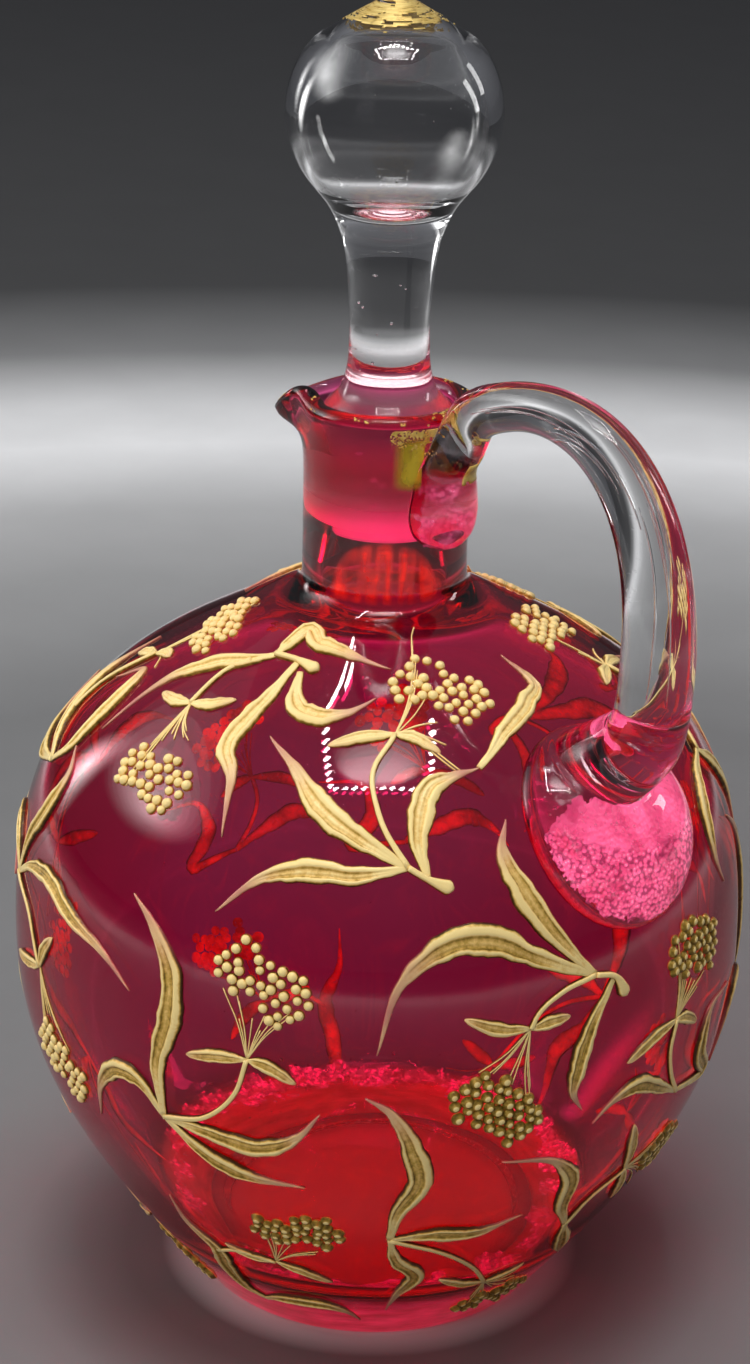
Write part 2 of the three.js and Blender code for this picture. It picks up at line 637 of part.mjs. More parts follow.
// Sprays, each with its leaves, stems and bracts as sheet points from the stem outwards.
const SPRAYS = {
  shoulder_front: {
    leaves: [
      [[50, 80.4], [42, 83.2], [34, 86], [28, 88.8], [19, 91.2]],
      [[50, 80.4], [42, 79.6], [33, 79.6], [26, 78], [20, 73.6]],
      [[53, 79.2], [52, 83.6], [54, 87.2], [60, 88.7], [66, 89.2]],
      [[66, 89.2], [75, 91.6], [87, 93.5], [94.5, 95.3], [92.5, 97.3]],
    ],
    stems: [
      [[50, 80.4], [53, 79.2], [57, 78]],
      [[50, 80.4], [45, 85.6], [43.5, 88.8], [48.5, 92.4]],
    ],
    bracts: [
      [[41, 92.1], [33, 91.2]],
      [[53, 92.1], [58.5, 90.8]],
    ],
    head: [63.5, 95.7],
    headSize: 1.06,
  },
  shoulder_left: {
    leaves: [
      [[4, 97.3], [5, 98.3], [19, 98.9], [35, 98.3], [48, 97.5]],
      [[4, 97.3], [-3, 96.3], [-16, 94.3], [-22.5, 91.6], [-24, 85.6]],
      [[14, 97.3], [12, 93.6], [10, 90.4], [15.5, 86.8], [18, 81.6]],
    ],
    stems: [
      [[4, 97.3], [14, 97.3], [23, 96.9]],
      [[-3, 96.3], [-8, 94.1], [-7.3, 91.6]],
    ],
    bracts: [
      [[-12, 91.2], [-18.5, 91.1]],
      [[-2, 92.1], [4, 93.2]],
    ],
    head: [-2, 84.8],
    headSize: 0.94,
  },
  shoulder_right: {
    leaves: [
      [[126, 81.6], [118, 80], [113.5, 76], [112.5, 71.5], [114.5, 67.1]],
      [[126, 81.6], [130, 78.8], [134, 73.2], [133, 67.5]],
    ],
    stems: [[[126, 81.6], [131, 86.8], [128, 92.1]]],
    bracts: [
      [[123, 92.1], [118, 91.6]],
      [[133, 91.8], [138, 91]],
    ],
    head: [129.5, 96.9],
    headSize: 0.94,
  },
  shoulder_far_left: {
    leaves: [
      [[-34, 78.8], [-29, 82.8], [-29.5, 87.6], [-34, 90.8], [-41, 88.4]],
      [[-34, 78.8], [-43, 82], [-50, 87.6], [-52, 92]],
      [[-34, 78.8], [-44, 77.2], [-54, 78.8], [-62, 83.6]],
    ],
    stems: [[[-43, 82], [-44, 86.8], [-40, 92]]],
    bracts: [
      [[-44, 91.3], [-48, 90.4]],
      [[-36, 92.8], [-33, 92.9]],
    ],
    head: [-34, 96.8],
    headSize: 0.94,
  },
  side_left: {
    leaves: [
      [[-31, 63.9], [-28, 69.9], [-24, 75.6], [-23, 79.6], [-28, 82.8]],
      [[-31, 63.9], [-23, 67.5], [-16, 68.3], [-8, 65.9], [1, 63.5], [6.5, 60.3]],
      [[-31, 63.9], [-37, 67.5], [-44, 68.7], [-50, 66.7]],
    ],
    stems: [[[-31, 63.9], [-22, 61.1], [-17, 55.5]]],
    bracts: [
      [[-15.5, 58.3], [-13, 61.1]],
      [[-22, 54.3], [-28.5, 53.1]],
    ],
    head: [-11.5, 43.4],
    headSize: 1,
  },
  middle_left: {
    leaves: [
      [[12.5, 43.8], [12, 51.4], [14, 58.7], [14, 64.3], [9.5, 69.9], [5, 72.7]],
      [[12.5, 43.8], [20, 43.4], [29, 42.8], [34, 45], [37.5, 49]],
      [[12.5, 43.8], [8, 48.2], [3.5, 48.2], [-0.5, 44.2], [-2.5, 38.6]],
      [[12.5, 43.8], [20, 39.4], [27, 37.4], [35, 36.8]],
    ],
    stems: [[[12.5, 43.8], [20, 45.8], [25, 50.6], [26.7, 55.5]]],
    bracts: [
      [[22, 55.2], [17, 54.3]],
      [[30, 55], [34, 53.1]],
    ],
    head: [28.5, 65.9],
    headSize: 1,
  },
  middle_front: {
    leaves: [
      [[79, 65.1], [73, 70.7], [68, 77.2], [66, 81.6], [68, 84.4]],
      [[79, 65.1], [70, 68.7], [62, 71.9], [55, 71.5], [49, 67.5], [45.5, 57.9]],
      [[82.5, 64.1], [78, 58.1], [76, 53.1], [75.5, 49.4], [77.5, 46.2]],
    ],
    stems: [
      [[79, 65.1], [82.5, 64.1], [84.5, 61.1]],
      [[79, 65.1], [73, 63.9], [69, 61.5], [68, 59.9]],
    ],
    bracts: [
      [[63, 60.5], [58, 62.3]],
      [[71, 60.3], [74.5, 60.5]],
    ],
    head: [63.5, 49],
    headSize: 1,
  },
  middle_right: {
    leaves: [
      [[99.5, 41.8], [94, 44.5], [88, 47], [84, 46.2], [80, 43.4]],
      [[99.5, 41.8], [110, 41], [105.5, 45.8], [107, 50.6], [116, 51.8]],
    ],
    stems: [[[99.5, 41.8], [96.5, 45.8], [95.3, 49.8], [96.3, 53.9]]],
    bracts: [
      [[91, 53.1], [85.5, 51]],
      [[99, 53.3], [102.5, 51.4]],
    ],
    head: [102, 62.3],
    headSize: 0.94,
  },
  lower_right: {
    leaves: [
      [[84, 23.3], [79.5, 28.9], [78.5, 34.6], [75, 38.2], [65, 40.6]],
      [[84, 23.3], [87, 19.3], [91, 15.3], [97, 11.3]],
    ],
    stems: [[[84, 23.3], [86, 27.3], [93, 30.9]]],
    bracts: [
      [[91.5, 35.4], [90, 39.8]],
      [[95, 27.3], [97, 23.3]],
    ],
    head: [107, 28.9],
    headSize: 1,
  },
  foot_front: {
    leaves: [
      [[48.5, 27.3], [49.5, 33], [52.5, 38.6], [51, 44.2], [47.5, 49.8], [44, 51.8]],
      [[48.5, 27.3], [56, 28.1], [64, 27.5], [71.5, 29.3]],
      [[48.5, 27.3], [50, 22.5], [54.5, 18.1], [51.5, 12.9], [49.5, 8]],
    ],
    stems: [[[48.5, 27.3], [58, 23.7], [66, 18.5], [72, 12.9]]],
    bracts: [
      [[66, 14.1], [60, 16.1]],
      [[76, 13.7], [81, 14.9]],
    ],
    head: [79, 6.8],
    headSize: 0.75,
  },
  foot_left: {
    leaves: [
      [[17, 6.8], [13, 8.8], [12, 13.7], [13, 18.1], [8.5, 23.3], [8, 28.1]],
      [[17, 6.8], [23, 8.4], [31, 9.1], [39, 7.6], [43, 4.8]],
    ],
    stems: [[[13, 18.1], [18, 19.7], [26.5, 19.3]]],
    bracts: [
      [[22, 19.5], [16, 20.5]],
      [[31, 18.3], [37.5, 15.7]],
    ],
    head: [32.5, 27.3],
    headSize: 0.88,
  },
};

// The far side repeats these sprays, turned round the body.
const FAR_SPRAYS = [
  ["shoulder_back_right", "shoulder_front", 120],
  ["middle_back_right", "middle_front", 120],
  ["side_back_right", "middle_left", 120],
  ["side_back", "middle_right", 120],
  ["foot_back", "foot_front", 120],
  ["foot_back_right", "foot_left", 112],
  ["shoulder_back_left", "shoulder_left", 245],
  ["middle_back_left", "middle_right", 152],
  ["foot_back_left", "foot_left", 225],
  ["side_back_left", "side_left", -45],
  ["foot_side_left", "foot_front", -95],
];

// Gilding laid on the rounded edge of the mouth.
function rimGilding() {
  const inner = rimRound(CLEARANCE, 3, RIM_GILDING_SWEEP);
  const outer = rimRound(CLEARANCE + GILDING_THICKNESS, 3, RIM_GILDING_SWEEP);
  inner.unshift(inner[0].clone().setY(inner[0].y - RIM_GILDING_DEPTH));
  outer.unshift(outer[0].clone().setY(outer[0].y - RIM_GILDING_DEPTH));
  const profile = [...outer, ...inner.reverse(), outer[0].clone()];
  return pullLip(turned(profile, BOTTLE_SIDES));
}

// Gilding laid on the stopper's low point.
function tipGilding() {
  const under = tipOutline(CLEARANCE, TIP_GILDING_RADIUS);
  const over = tipOutline(CLEARANCE + GILDING_THICKNESS, TIP_GILDING_RADIUS);
  return turned([...under.reverse(), ...over], STOPPER_SIDES);
}

add("bottle", bottle(), cranberryGlass);
add("handle", joined([pad(), rod()]), clearGlass);
add("stopper", stopper(), clearGlass);
add("rim_gilding", rimGilding(), gilding);
add("stopper_tip_gilding", tipGilding(), gilding);
const nearSprays = Object.keys(SPRAYS).map((name) => [name, name, 0]);
for (const [name, pattern, turn] of [...nearSprays, ...FAR_SPRAYS]) {
  const spray = SPRAYS[pattern];
  add(`${name}_leaves`, foliage(spray, turn), goldEnamel);
  add(`${name}_beads`, beadHead(spray.head, turn, spray.headSize * HEAD_RADIUS), goldEnamel);
}
const looseLeaf = [[17, 96.5], [20, 94.5], [27, 93.4], [35, 93.8], [43.5, 95.2]];
add("loose_leaf", stroke(looseLeaf, 0, LEAF_HALF_WIDTH, leafShares), goldEnamel);

export default decanter;
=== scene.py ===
import math
import random

import bpy
import numpy as np
from mathutils import Matrix, Vector, noise


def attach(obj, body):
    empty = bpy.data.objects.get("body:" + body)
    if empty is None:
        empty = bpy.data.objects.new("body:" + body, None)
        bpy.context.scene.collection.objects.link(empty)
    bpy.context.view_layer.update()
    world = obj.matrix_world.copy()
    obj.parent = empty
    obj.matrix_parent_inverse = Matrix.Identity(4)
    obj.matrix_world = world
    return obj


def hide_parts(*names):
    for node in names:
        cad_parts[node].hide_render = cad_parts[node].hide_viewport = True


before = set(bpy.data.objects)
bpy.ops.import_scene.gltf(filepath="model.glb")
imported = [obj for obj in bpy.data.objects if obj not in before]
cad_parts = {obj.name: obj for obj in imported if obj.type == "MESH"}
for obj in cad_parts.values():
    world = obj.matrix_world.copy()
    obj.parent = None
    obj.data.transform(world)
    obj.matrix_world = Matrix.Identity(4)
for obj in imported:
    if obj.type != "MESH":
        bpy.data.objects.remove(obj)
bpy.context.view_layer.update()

MM = 0.001

# Bottle
FOOT_RADIUS = 30.5
BODY_RADIUS = 62.0
WIDEST_HEIGHT = 66.0
SHOULDER_END_RADIUS = 19.5
SHOULDER_END_HEIGHT = 123.6
NECK_RADIUS = 13.6
NECK_LENGTH = 34.8
NECK_FILLET_HEIGHT = 5.4
FLARE_LENGTH = 14.4
RIM_RADIUS = 14.7
BODY_WALL = 2.6
FLOOR_THICKNESS = 13.0
FLOOR_FLAT_RADIUS = 27.9
LOWER_BORE_RADIUS = 10.0
FOOT_PULL = 26.0
FOOT_SLOPE = 0.75
HIP_PULL = 25.0
SHOULDER_PULL = 38.0
SHOULDER_END_PULL = 14.0
SHOULDER_END_SLOPE = 1.84
FOOT_HOLLOW = 1.0
FOOT_RING_WIDTH = 5.0
FOOT_RING_INSET = 2.2
BASE_CORNER_RISE = 5.0
WALL_UNEVENNESS = 0.35
WALL_WAVE_LENGTH = 26.0
WALL_WAVE_FADE = 8.0

# Pouring lip and the curl beside it
LIP_AZIMUTH = -65
LIP_REACH = 4.3
LIP_HALF_ANGLE = 25
LIP_LENGTH = 9.8
LIP_DROP = 2.4
CURL_ANGLE = 30
CURL_HALF_ANGLE = 13
CURL_LIFT = 2.6

# Stopper
PLUG_SINK = 2.0
PLUG_LENGTH = 20.2
PLUG_TOP_RADIUS = 10.6
PLUG_FOOT_RADIUS = 8.5
PLUG_FOOT_ROUND = 0.8
PLUG_CLEARANCE = 0.3
PLUG_SHOULDER_RISE = 4.8
WAIST_FOOT_RADIUS = 7.05
WAIST_RADIUS = 6.45
WAIST_RISE = 11.6
WAIST_TOP_RADIUS = 8.4
WAIST_FLARE_HEIGHT = 6.8
BALL_START_RADIUS = 12.6
BALL_RADIUS = 17.15
BALL_RISE = 47.6
TIP_START_RADIUS = 13.3
TIP_RISE = 18.8
BALL_WALL = 2.45
CAVITY_DROP = 1.2

# Handle
HANDLE_AZIMUTH = 90
HANDLE_INSET = 2.6
CROWN_OVERHANG = 20.4
CROWN_RISE = 5.0
ARCH_DROP = 33.4
ARCH_SQUARENESS = 2.25
ROD_RADIUS = 5.8
CROWN_HALF_THICKNESS = 3.9
CROWN_HALF_WIDTH = 4.3
HANDLE_END_RISE = 7.0
HANDLE_END_HALF_WIDTH = 6.8
HANDLE_END_HALF_THICKNESS = 2.3
STRAP_TOP_RISE = 18.0
STRAP_TOP_INSET = 3.55
STRAP_TOP_OUTER_DEPTH = 4.4
STRAP_TOP_INNER_DEPTH = 2.3
STRAP_BED = 0.3
STRAP_TOP_NARROWING = 0.76
RIM_BEND_INSET = 0.2
RIM_BEND_RISE = 0.6
CROWN_SAG = 1.3
PAD_UP = 81.7
PAD_RADIUS = 17.0
PAD_THICKNESS = 6.0
PAD_EDGE_THICKNESS = 0.6
PAD_CREASE_DEPTH = 0.8
PAD_CREASE_WIDTH = 1.1
PAD_ROOT_MARGIN = 0.4
ROD_LANDING_RISE = 8.6
ROD_LANDING_RADIUS = 7.0
FUSED_DEPTH = 0.2

# Enamel and gilding
LEAF_THICKNESS = 1.0
LEAF_HALF_WIDTH = 2.0
BRACT_HALF_WIDTH = 1.3
STEM_HALF_WIDTH = 0.55
RAY_COUNT = 10
RAY_HALF_WIDTH = 0.13
RAY_THICKNESS = 0.22
ENAMEL_DEPTH = 0.1
HEAD_RADIUS = 8.0
BEAD_PITCH = 1.95
BEAD_RADIUS = 0.84
LAYER_THICKNESS = 0.07
TIP_GILDING_RADIUS = 9.5

# Worn gilding on the rim and the neck, and a painted reflection of gilding on the neck, with azimuths in
# degrees
RIM_GILDING_DROP = 2.0
RIM_GILDING_LENGTH = 6.2
RIM_GILDING_AZIMUTH = 102
RIM_GILDING_SPREAD = 44
NECK_GILDING_AZIMUTH = 47
NECK_GILDING_TURN = 36
NECK_GILDING_LENGTH = 4.5
PATCH_AZIMUTH = 48
PATCH_TURN = 22
PATCH_DROP = 3.0
PATCH_LENGTH = 9.2

# The rings and sides of the handle's rod that its gilding covers
GILDED_RING = 27
GILDED_RINGS = 8
GILDED_SIDE = 7
GILDED_SIDES = 8

# Bubbly films with a painted glow, and painted glows of red light in the glass
FILM_RISE = 0.3
PAD_FILM_REACH = 0.95
STRAP_FILM_START = 0.7
STRAP_FILM_LENGTH = 12
STRAP_FILM_TURN = 54
FOOT_GLOW_START = 0.25
FOOT_GLOW_LENGTH = 13.5
FOOT_GLOW_DEPTH = 0.7
FOOT_GLOW_FADE = 6
NECK_GLOW_DROP = 2.6
NECK_GLOW_LENGTH = 11
NECK_GLOW_HALF_TURN = 42
NECK_GLOW_DEPTH = 0.9

# Bubbles: how many each part of the glass holds, and the ranges of their radii and places
BASE_BUBBLES = 170
BASE_BUBBLE_RADII = (0.12, 0.4)
BASE_BUBBLE_HEIGHTS = (7, 15)
WALL_BUBBLES = 130
WALL_BUBBLE_RADII = (0.05, 0.13)
WALL_BUBBLE_HEIGHTS = (20, 118)
ROD_BUBBLES = 14
ROD_BUBBLE_RADII = (0.05, 0.13)
ROD_BUBBLE_RINGS = (14, 30)
PAD_BUBBLES = 160
PAD_BUBBLE_RADII = (0.08, 0.24)
BALL_BUBBLES = 26
BALL_BUBBLE_RADII = (0.08, 0.2)
WAIST_BUBBLES = 14
WAIST_BUBBLE_RADII = (0.08, 0.25)
PLUG_BUBBLES = 12
PLUG_BUBBLE_RADII = (0.1, 0.3)

# Mesh fineness
BOTTLE_SIDES = 192
RIM_STEPS = 14
STOPPER_SIDES = 128
ROD_SIDES = 48
ROD_STEPS = 5
ARCH_STEPS = 8
BUBBLE_SIDES = 10
DRAWN_BUBBLE_SIDES = 6
BEAD_SIDES = 14
FLOOR_SIDES = 128

# Heights and radii that follow
neck_foot_height = SHOULDER_END_HEIGHT + NECK_FILLET_HEIGHT
rim_height = SHOULDER_END_HEIGHT + NECK_LENGTH
flare_start_height = rim_height - FLARE_LENGTH
plug_top_height = rim_height - PLUG_SINK
plug_foot_height = plug_top_height - PLUG_LENGTH
ball_height = plug_top_height + BALL_RISE
tip_height = ball_height + TIP_RISE
pad_height = PAD_UP / 100 * SHOULDER_END_HEIGHT
seat_top_radius = PLUG_TOP_RADIUS + PLUG_CLEARANCE
seat_foot_radius = PLUG_FOOT_RADIUS + PLUG_CLEARANCE
rim_edge = (RIM_RADIUS - seat_top_radius) / 2
rim_middle = (RIM_RADIUS + seat_top_radius) / 2


# Camera

CAMERA_AZIMUTH = 45
CAMERA_PLACE = (330.1, -330.1, 295.6)
CAMERA_AIM = (0.0, -1.6, 108.7)
CAMERA_ROLL = 1.24
CAMERA_LENS = 79.2
CAMERA_SENSOR = 36.0
CAMERA_CLIP = (0.05, 50.0)


def make_camera():
    data = bpy.data.cameras.new("camera")
    data.lens = CAMERA_LENS
    data.sensor_width = CAMERA_SENSOR
    data.clip_start, data.clip_end = CAMERA_CLIP
    camera = bpy.data.objects.new("camera", data)
    bpy.context.scene.collection.objects.link(camera)
    place = Vector(CAMERA_PLACE) * MM
    look = (Vector(CAMERA_AIM) * MM - place).to_track_quat("-Z", "Y")
    roll = Matrix.Rotation(math.radians(CAMERA_ROLL), 4, "Z")
    camera.matrix_world = Matrix.Translation(place) @ look.to_matrix().to_4x4() @ roll
    bpy.context.scene.camera = camera


# Shape helpers


def unit(vector):
    vector = np.asarray(vector, float)
    return vector / np.linalg.norm(vector)


def noise_at(point, scale):
    return noise.noise(Vector(point) / scale)


def directions(line):
    """Unit steps along a line, at each of its points."""
    steps = np.gradient(line, axis=0)
    return steps / np.linalg.norm(steps, axis=1)[:, None]


def clamp(value, low=0):
    return min(1, max(low, value))


def turns(count):
    """Angles of equal steps round a circle, in radians."""
    return np.linspace(0, 2 * math.pi, count, endpoint=False)


def bezier(start, start_pull, end_pull, end, steps):
    share = np.linspace(0, 1, steps + 1)[:, None]
    rest = 1 - share
    parts = [np.asarray(point, float) for point in (start, start_pull, end_pull, end)]
    weights = (rest**3, 3 * rest**2 * share, 3 * rest * share**2, share**3)
    return sum(weight * part for weight, part in zip(weights, parts))


def smooth_line(points, steps):
    """A smooth line through the points, with the same count of steps between each two."""
    points = np.asarray(points, float)
    gaps = np.linalg.norm(np.diff(points, axis=0), axis=1)[:, None]
    slopes = np.diff(points, axis=0) / gaps
    tangents = np.vstack([slopes[:1], slopes[:1], slopes[1:]])[: len(points)]
    tangents[-1] = slopes[-1]
    if len(points) > 2:
        share = gaps[1:] / (gaps[:-1] + gaps[1:])
        tangents[1:-1] = slopes[:-1] * share + slopes[1:] * (1 - share)
    line = []
    for i in range(len(points) - 1):
        for s in np.arange(steps) / steps:
            start = (1 + 2 * s) * (1 - s) ** 2
            end = s**2 * (3 - 2 * s)
            leave = s * (1 - s) ** 2 * gaps[i]
            arrive = s**2 * (s - 1) * gaps[i]
            pulls = leave * tangents[i] + arrive * tangents[i + 1]
            line.append(start * points[i] + end * points[i + 1] + pulls)
    line.append(points[-1])
    return np.array(line)


def around(azimuth, radius, height):
    angle = np.radians(azimuth)
    return np.array([radius * np.sin(angle), -radius * np.cos(angle), height])


def azimuth_of(point):
    return math.degrees(math.atan2(point[0], -point[1]))


def skinned(rings, closed=False):
    """Skin over rings of equal point counts, with a fan at each end, or closed end to end."""
    rings = [np.asarray(ring, float) for ring in rings]
    count = len(rings[0])
    vertices = list(np.concatenate(rings))
    faces = []
    last = len(rings) if closed else len(rings) - 1
    for row in range(last):
        here = row * count
        there = ((row + 1) % len(rings)) * count
        for i in range(count):
            j = (i + 1) % count
            faces.append((here + i, here + j, there + j, there + i))
    if not closed:
        for row in (0, len(rings) - 1):
            middle = len(vertices)
            vertices.append(rings[row].mean(axis=0))
            start = row * count
            for i in range(count):
                j = (i + 1) % count
                pair = (start + j, start + i) if row == 0 else (start + i, start + j)
                faces.append((middle, *pair))
    return np.array(vertices), faces


def turned(profile, sides):
    """Skin of a profile from the axis to the axis, turned round it."""
    angles = np.linspace(0, 360, sides, endpoint=False)
    inner = profile[1:-1]
    rings = [np.array([around(angle, radius, height) for angle in angles]) for radius, height in inner]
    vertices, faces = skinned(rings)
    vertices[-2] = (0, 0, profile[0][1])
    vertices[-1] = (0, 0, profile[-1][1])
    return vertices, faces


def signed_volume(vertices, faces):
    total = 0.0
    for count in {len(face) for face in faces}:
        corners = np.asarray(vertices)[[face for face in faces if len(face) == count]]
        for i in range(1, count - 1):
            total += np.sum(corners[:, 0] * np.cross(corners[:, i], corners[:, i + 1]))
    return total


def facing(shell, outwards=True):
    """The shell with its faces pointing out, or into the hollow that it lines."""
    vertices, faces = shell
    if (signed_volume(vertices, faces) > 0) != outwards:
        faces = [face[::-1] for face in faces]
    return vertices, faces


def bubble(centre, radius):
    """A small round bubble in the glass, with its faces towards its own inside."""
    rings = []
    angles = turns(BUBBLE_SIDES)
    for tilt in (0.2, 0.7, 1.2, 1.7, 2.2, 2.7, 2.95):
        spread = radius * math.sin(tilt)
        heights = np.full(BUBBLE_SIDES, radius * math.cos(tilt))
        ring = np.stack([spread * np.cos(angles), spread * np.sin(angles), heights], axis=1)
        rings.append(ring + centre)
    return facing(skinned(rings), outwards=False)


def together(shells):
    vertices = []
    faces = []
    for shell_vertices, shell_faces in shells:
        start = len(vertices)
        vertices.extend(shell_vertices)
        faces.extend(tuple(start + i for i in face) for face in shell_faces)
    return np.array(vertices), faces


def piece(name, shell, material, body, nodes=(), attributes=None):
    vertices, faces = shell
    mesh = bpy.data.meshes.new(name)
    mesh.from_pydata((np.asarray(vertices) * MM).tolist(), [], faces)
    mesh.shade_smooth()
    for label, values in (attributes or {}).items():
        layer = mesh.attributes.new(label, "FLOAT", "POINT")
        layer.data.foreach_set("value", np.asarray(values, np.float32))
    mesh.materials.append(material)
    thing = bpy.data.objects.new(name, mesh)
    bpy.context.scene.collection.objects.link(thing)
    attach(thing, body)
    if nodes:
        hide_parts(*nodes)
    return thing


# Materials


class Nodes:
    """Short calls for making the nodes of a material or of the world."""

    def __init__(self, owner, output="ShaderNodeOutputMaterial"):
        owner.use_nodes = True
        self.owner = owner
        self.tree = owner.node_tree
        self.tree.nodes.clear()
        self.out = self.add(output)

    def add(self, kind, inputs=None, **settings):
        node = self.tree.nodes.new(kind)
        for key, value in settings.items():
            setattr(node, key, value)
        for key, value in (inputs or {}).items():
            self.set(node.inputs[key], value)
        return node

    def set(self, socket, value):
        if isinstance(value, bpy.types.NodeSocket):
            self.tree.links.new(value, socket)
        else:
            socket.default_value = value

    def place(self):
        return self.add("ShaderNodeTexCoord").outputs["Object"]

    def noise(self, place, scale, detail=3.0, roughness=0.5):
        settings = {"Vector": place, "Scale": scale, "Detail": detail, "Roughness": roughness}
        return self.add("ShaderNodeTexNoise", settings).outputs["Fac"]

    def stretched(self, place, stretch):
        return self.add("ShaderNodeMapping", {"Vector": place, "Scale": stretch}).outputs["Vector"]

    def ramp(self, value, stops):
        node = self.add("ShaderNodeValToRGB", {"Fac": value})
        elements = node.color_ramp.elements
        while len(elements) < len(stops):
            elements.new(0.5)
        for element, (position, colour) in zip(elements, stops):
            element.position = position
            element.color = (*colour, 1.0) if len(colour) == 3 else colour
        return node.outputs["Color"]

    def grey_ramp(self, value, stops):
        return self.ramp(value, [(position, (level,) * 3) for position, level in stops])

    def math(self, operation, first, second=0.5):
        node = self.add("ShaderNodeMath", operation=operation)
        self.set(node.inputs[0], first)
        self.set(node.inputs[1], second)
        return node.outputs[0]

    def blend(self, share, first, second, mode="MIX"):
        node = self.add("ShaderNodeMix", data_type="RGBA", blend_type=mode)
        self.set(node.inputs[0], share)
        self.set(node.inputs[6], first)
        self.set(node.inputs[7], second)
        return node.outputs[2]

    def bump(self, height, distance, strength, normal=None):
        inputs = {"Height": height, "Distance": distance, "Strength": strength}
        if normal is not None:
            inputs["Normal"] = normal
        return self.add("ShaderNodeBump", inputs).outputs["Normal"]

    def attribute(self, name):
        return self.add("ShaderNodeAttribute", attribute_name=name).outputs["Fac"]

    def end(self, shader):
        self.set(self.out.inputs["Surface"], shader.outputs[0])
        return self.owner

    def surface(self, inputs):
        """Ends the material with one surface shader that has these inputs."""
        return self.end(self.add("ShaderNodeBsdfPrincipled", inputs))


def glass(name, absorbed=None, density=0.0, ground_below=None, waviness=0.35):
    """Wavy, faintly scratched glass. Below a height it is ground, duller and paler towards its foot, where
    it also has a painted glow that stands in for light scattered in the frosted glass.
    """
    nodes = Nodes(bpy.data.materials.new(name))
    place = nodes.place()
    waves = nodes.bump(nodes.noise(place, 38.0, 1.0), 0.0006, waviness)
    lines = nodes.noise(nodes.stretched(place, (260.0, 900.0, 420.0)), 4.0, 2.0)
    scratches = nodes.grey_ramp(lines, [(0.66, 0.0), (0.70, 1.0)])
    normal = nodes.bump(scratches, 0.00002, 0.12, waves)
    inputs = {
        "Base Color": (1, 1, 1, 1),
        "Roughness": 0.0,
        "IOR": 1.5,
        "Transmission Weight": 1.0,
        "Normal": normal,
    }
    if ground_below is not None:
        height = nodes.add("ShaderNodeSeparateXYZ", {"Vector": place}).outputs["Z"]
        start = nodes.math("SUBTRACT", height, ground_below * MM)
        share = nodes.math("MULTIPLY", start, -1 / (PLUG_LENGTH * MM))
        steps = {
            "Roughness": [(0.0, 0.0), (0.05, 0.14), (0.85, 0.3), (1.0, 0.5)],
            "Transmission Weight": [(0.0, 1.0), (0.05, 0.93), (0.8, 0.86), (0.9, 0.5), (1.0, 0.25)],
            # Painted glow in the frosted plug, strongest at its foot
            "Emission Color": [(0.6, 0.0), (0.8, 0.1), (0.86, 0.36), (1.0, 0.42)],
        }
        for label, stops in steps.items():
            inputs[label] = nodes.grey_ramp(share, stops)
        inputs["Emission Strength"] = 1.0
    shader = nodes.add("ShaderNodeBsdfPrincipled", inputs)
    clear = nodes.add("ShaderNodeBsdfTransparent")
    shadow = nodes.add("ShaderNodeLightPath").outputs["Is Shadow Ray"]
    mix = nodes.add("ShaderNodeMixShader", {0: shadow, 1: shader.outputs[0], 2: clear.outputs[0]})
    if absorbed is not None:
        volume = nodes.add("ShaderNodeVolumeAbsorption", {"Color": (*absorbed, 1), "Density": density})
        nodes.set(nodes.out.inputs["Volume"], volume.outputs[0])
    return nodes.end(mix)


def enamel(name):
    """Opaque enamel, light where it stands high and dark in its hollows, with a painted glow underneath
    that stands in for light coming through the enamel.
    """
    nodes = Nodes(bpy.data.materials.new(name))
    place = nodes.place()
    relief = nodes.attribute("relief")
    speckle = nodes.noise(place, 1100.0, 4.0, 0.65)
    patches = nodes.noise(place, 160.0, 3.0)
    height = nodes.add("ShaderNodeSeparateXYZ", {"Vector": place}).outputs["Z"]
    # Painted light: the enamel is drawn lighter higher up the body, as if lit from above
    painted_top_light = nodes.grey_ramp(nodes.math("MULTIPLY", height, 5.0), [(0.42, 0.0), (0.56, 0.3)])
    grainy = nodes.math("MULTIPLY", nodes.math("SUBTRACT", speckle, 0.5), 0.9)
    shown = nodes.math("ADD", nodes.math("ADD", relief, painted_top_light), grainy)
    tones = [
        (0.08, (0.07, 0.030, 0.008)),
        (0.3, (0.27, 0.165, 0.020)),
        (0.5, (0.60, 0.36, 0.065)),
        (0.72, (0.86, 0.56, 0.170)),
        (0.92, (0.96, 0.73, 0.300)),
    ]
    colour = nodes.ramp(shown, tones)
    patchy = nodes.grey_ramp(patches, [(0.3, 0.6), (0.7, 1.0)])
    rosy = nodes.math("MULTIPLY", nodes.attribute("along"), patchy)
    colour = nodes.blend(nodes.math("MULTIPLY", rosy, 0.9), colour, (0.52, 0.15, 0.14, 1))
    # Painted glow: a warm red emission on the undersides, seen through the glass, standing in for light
    # coming through the enamel
    mottle = nodes.noise(place, 120.0, 5.0, 0.7)
    light = nodes.ramp(mottle, [(0.4, (0.22, 0.012, 0.004)), (0.62, (0.9, 0.20, 0.045))])
    painted_underside_glow = nodes.blend(nodes.attribute("under"), (0, 0, 0, 1), light)
    inputs = {
        "Base Color": colour,
        "Metallic": nodes.grey_ramp(shown, [(0.3, 0.35), (0.8, 0.0)]),
        "Roughness": nodes.grey_ramp(patches, [(0.3, 0.26), (0.7, 0.42)]),
        "Normal": nodes.bump(speckle, 0.00008, 0.6),
        "Emission Color": painted_underside_glow,
        "Emission Strength": 1.0,
    }
    return nodes.surface(inputs)


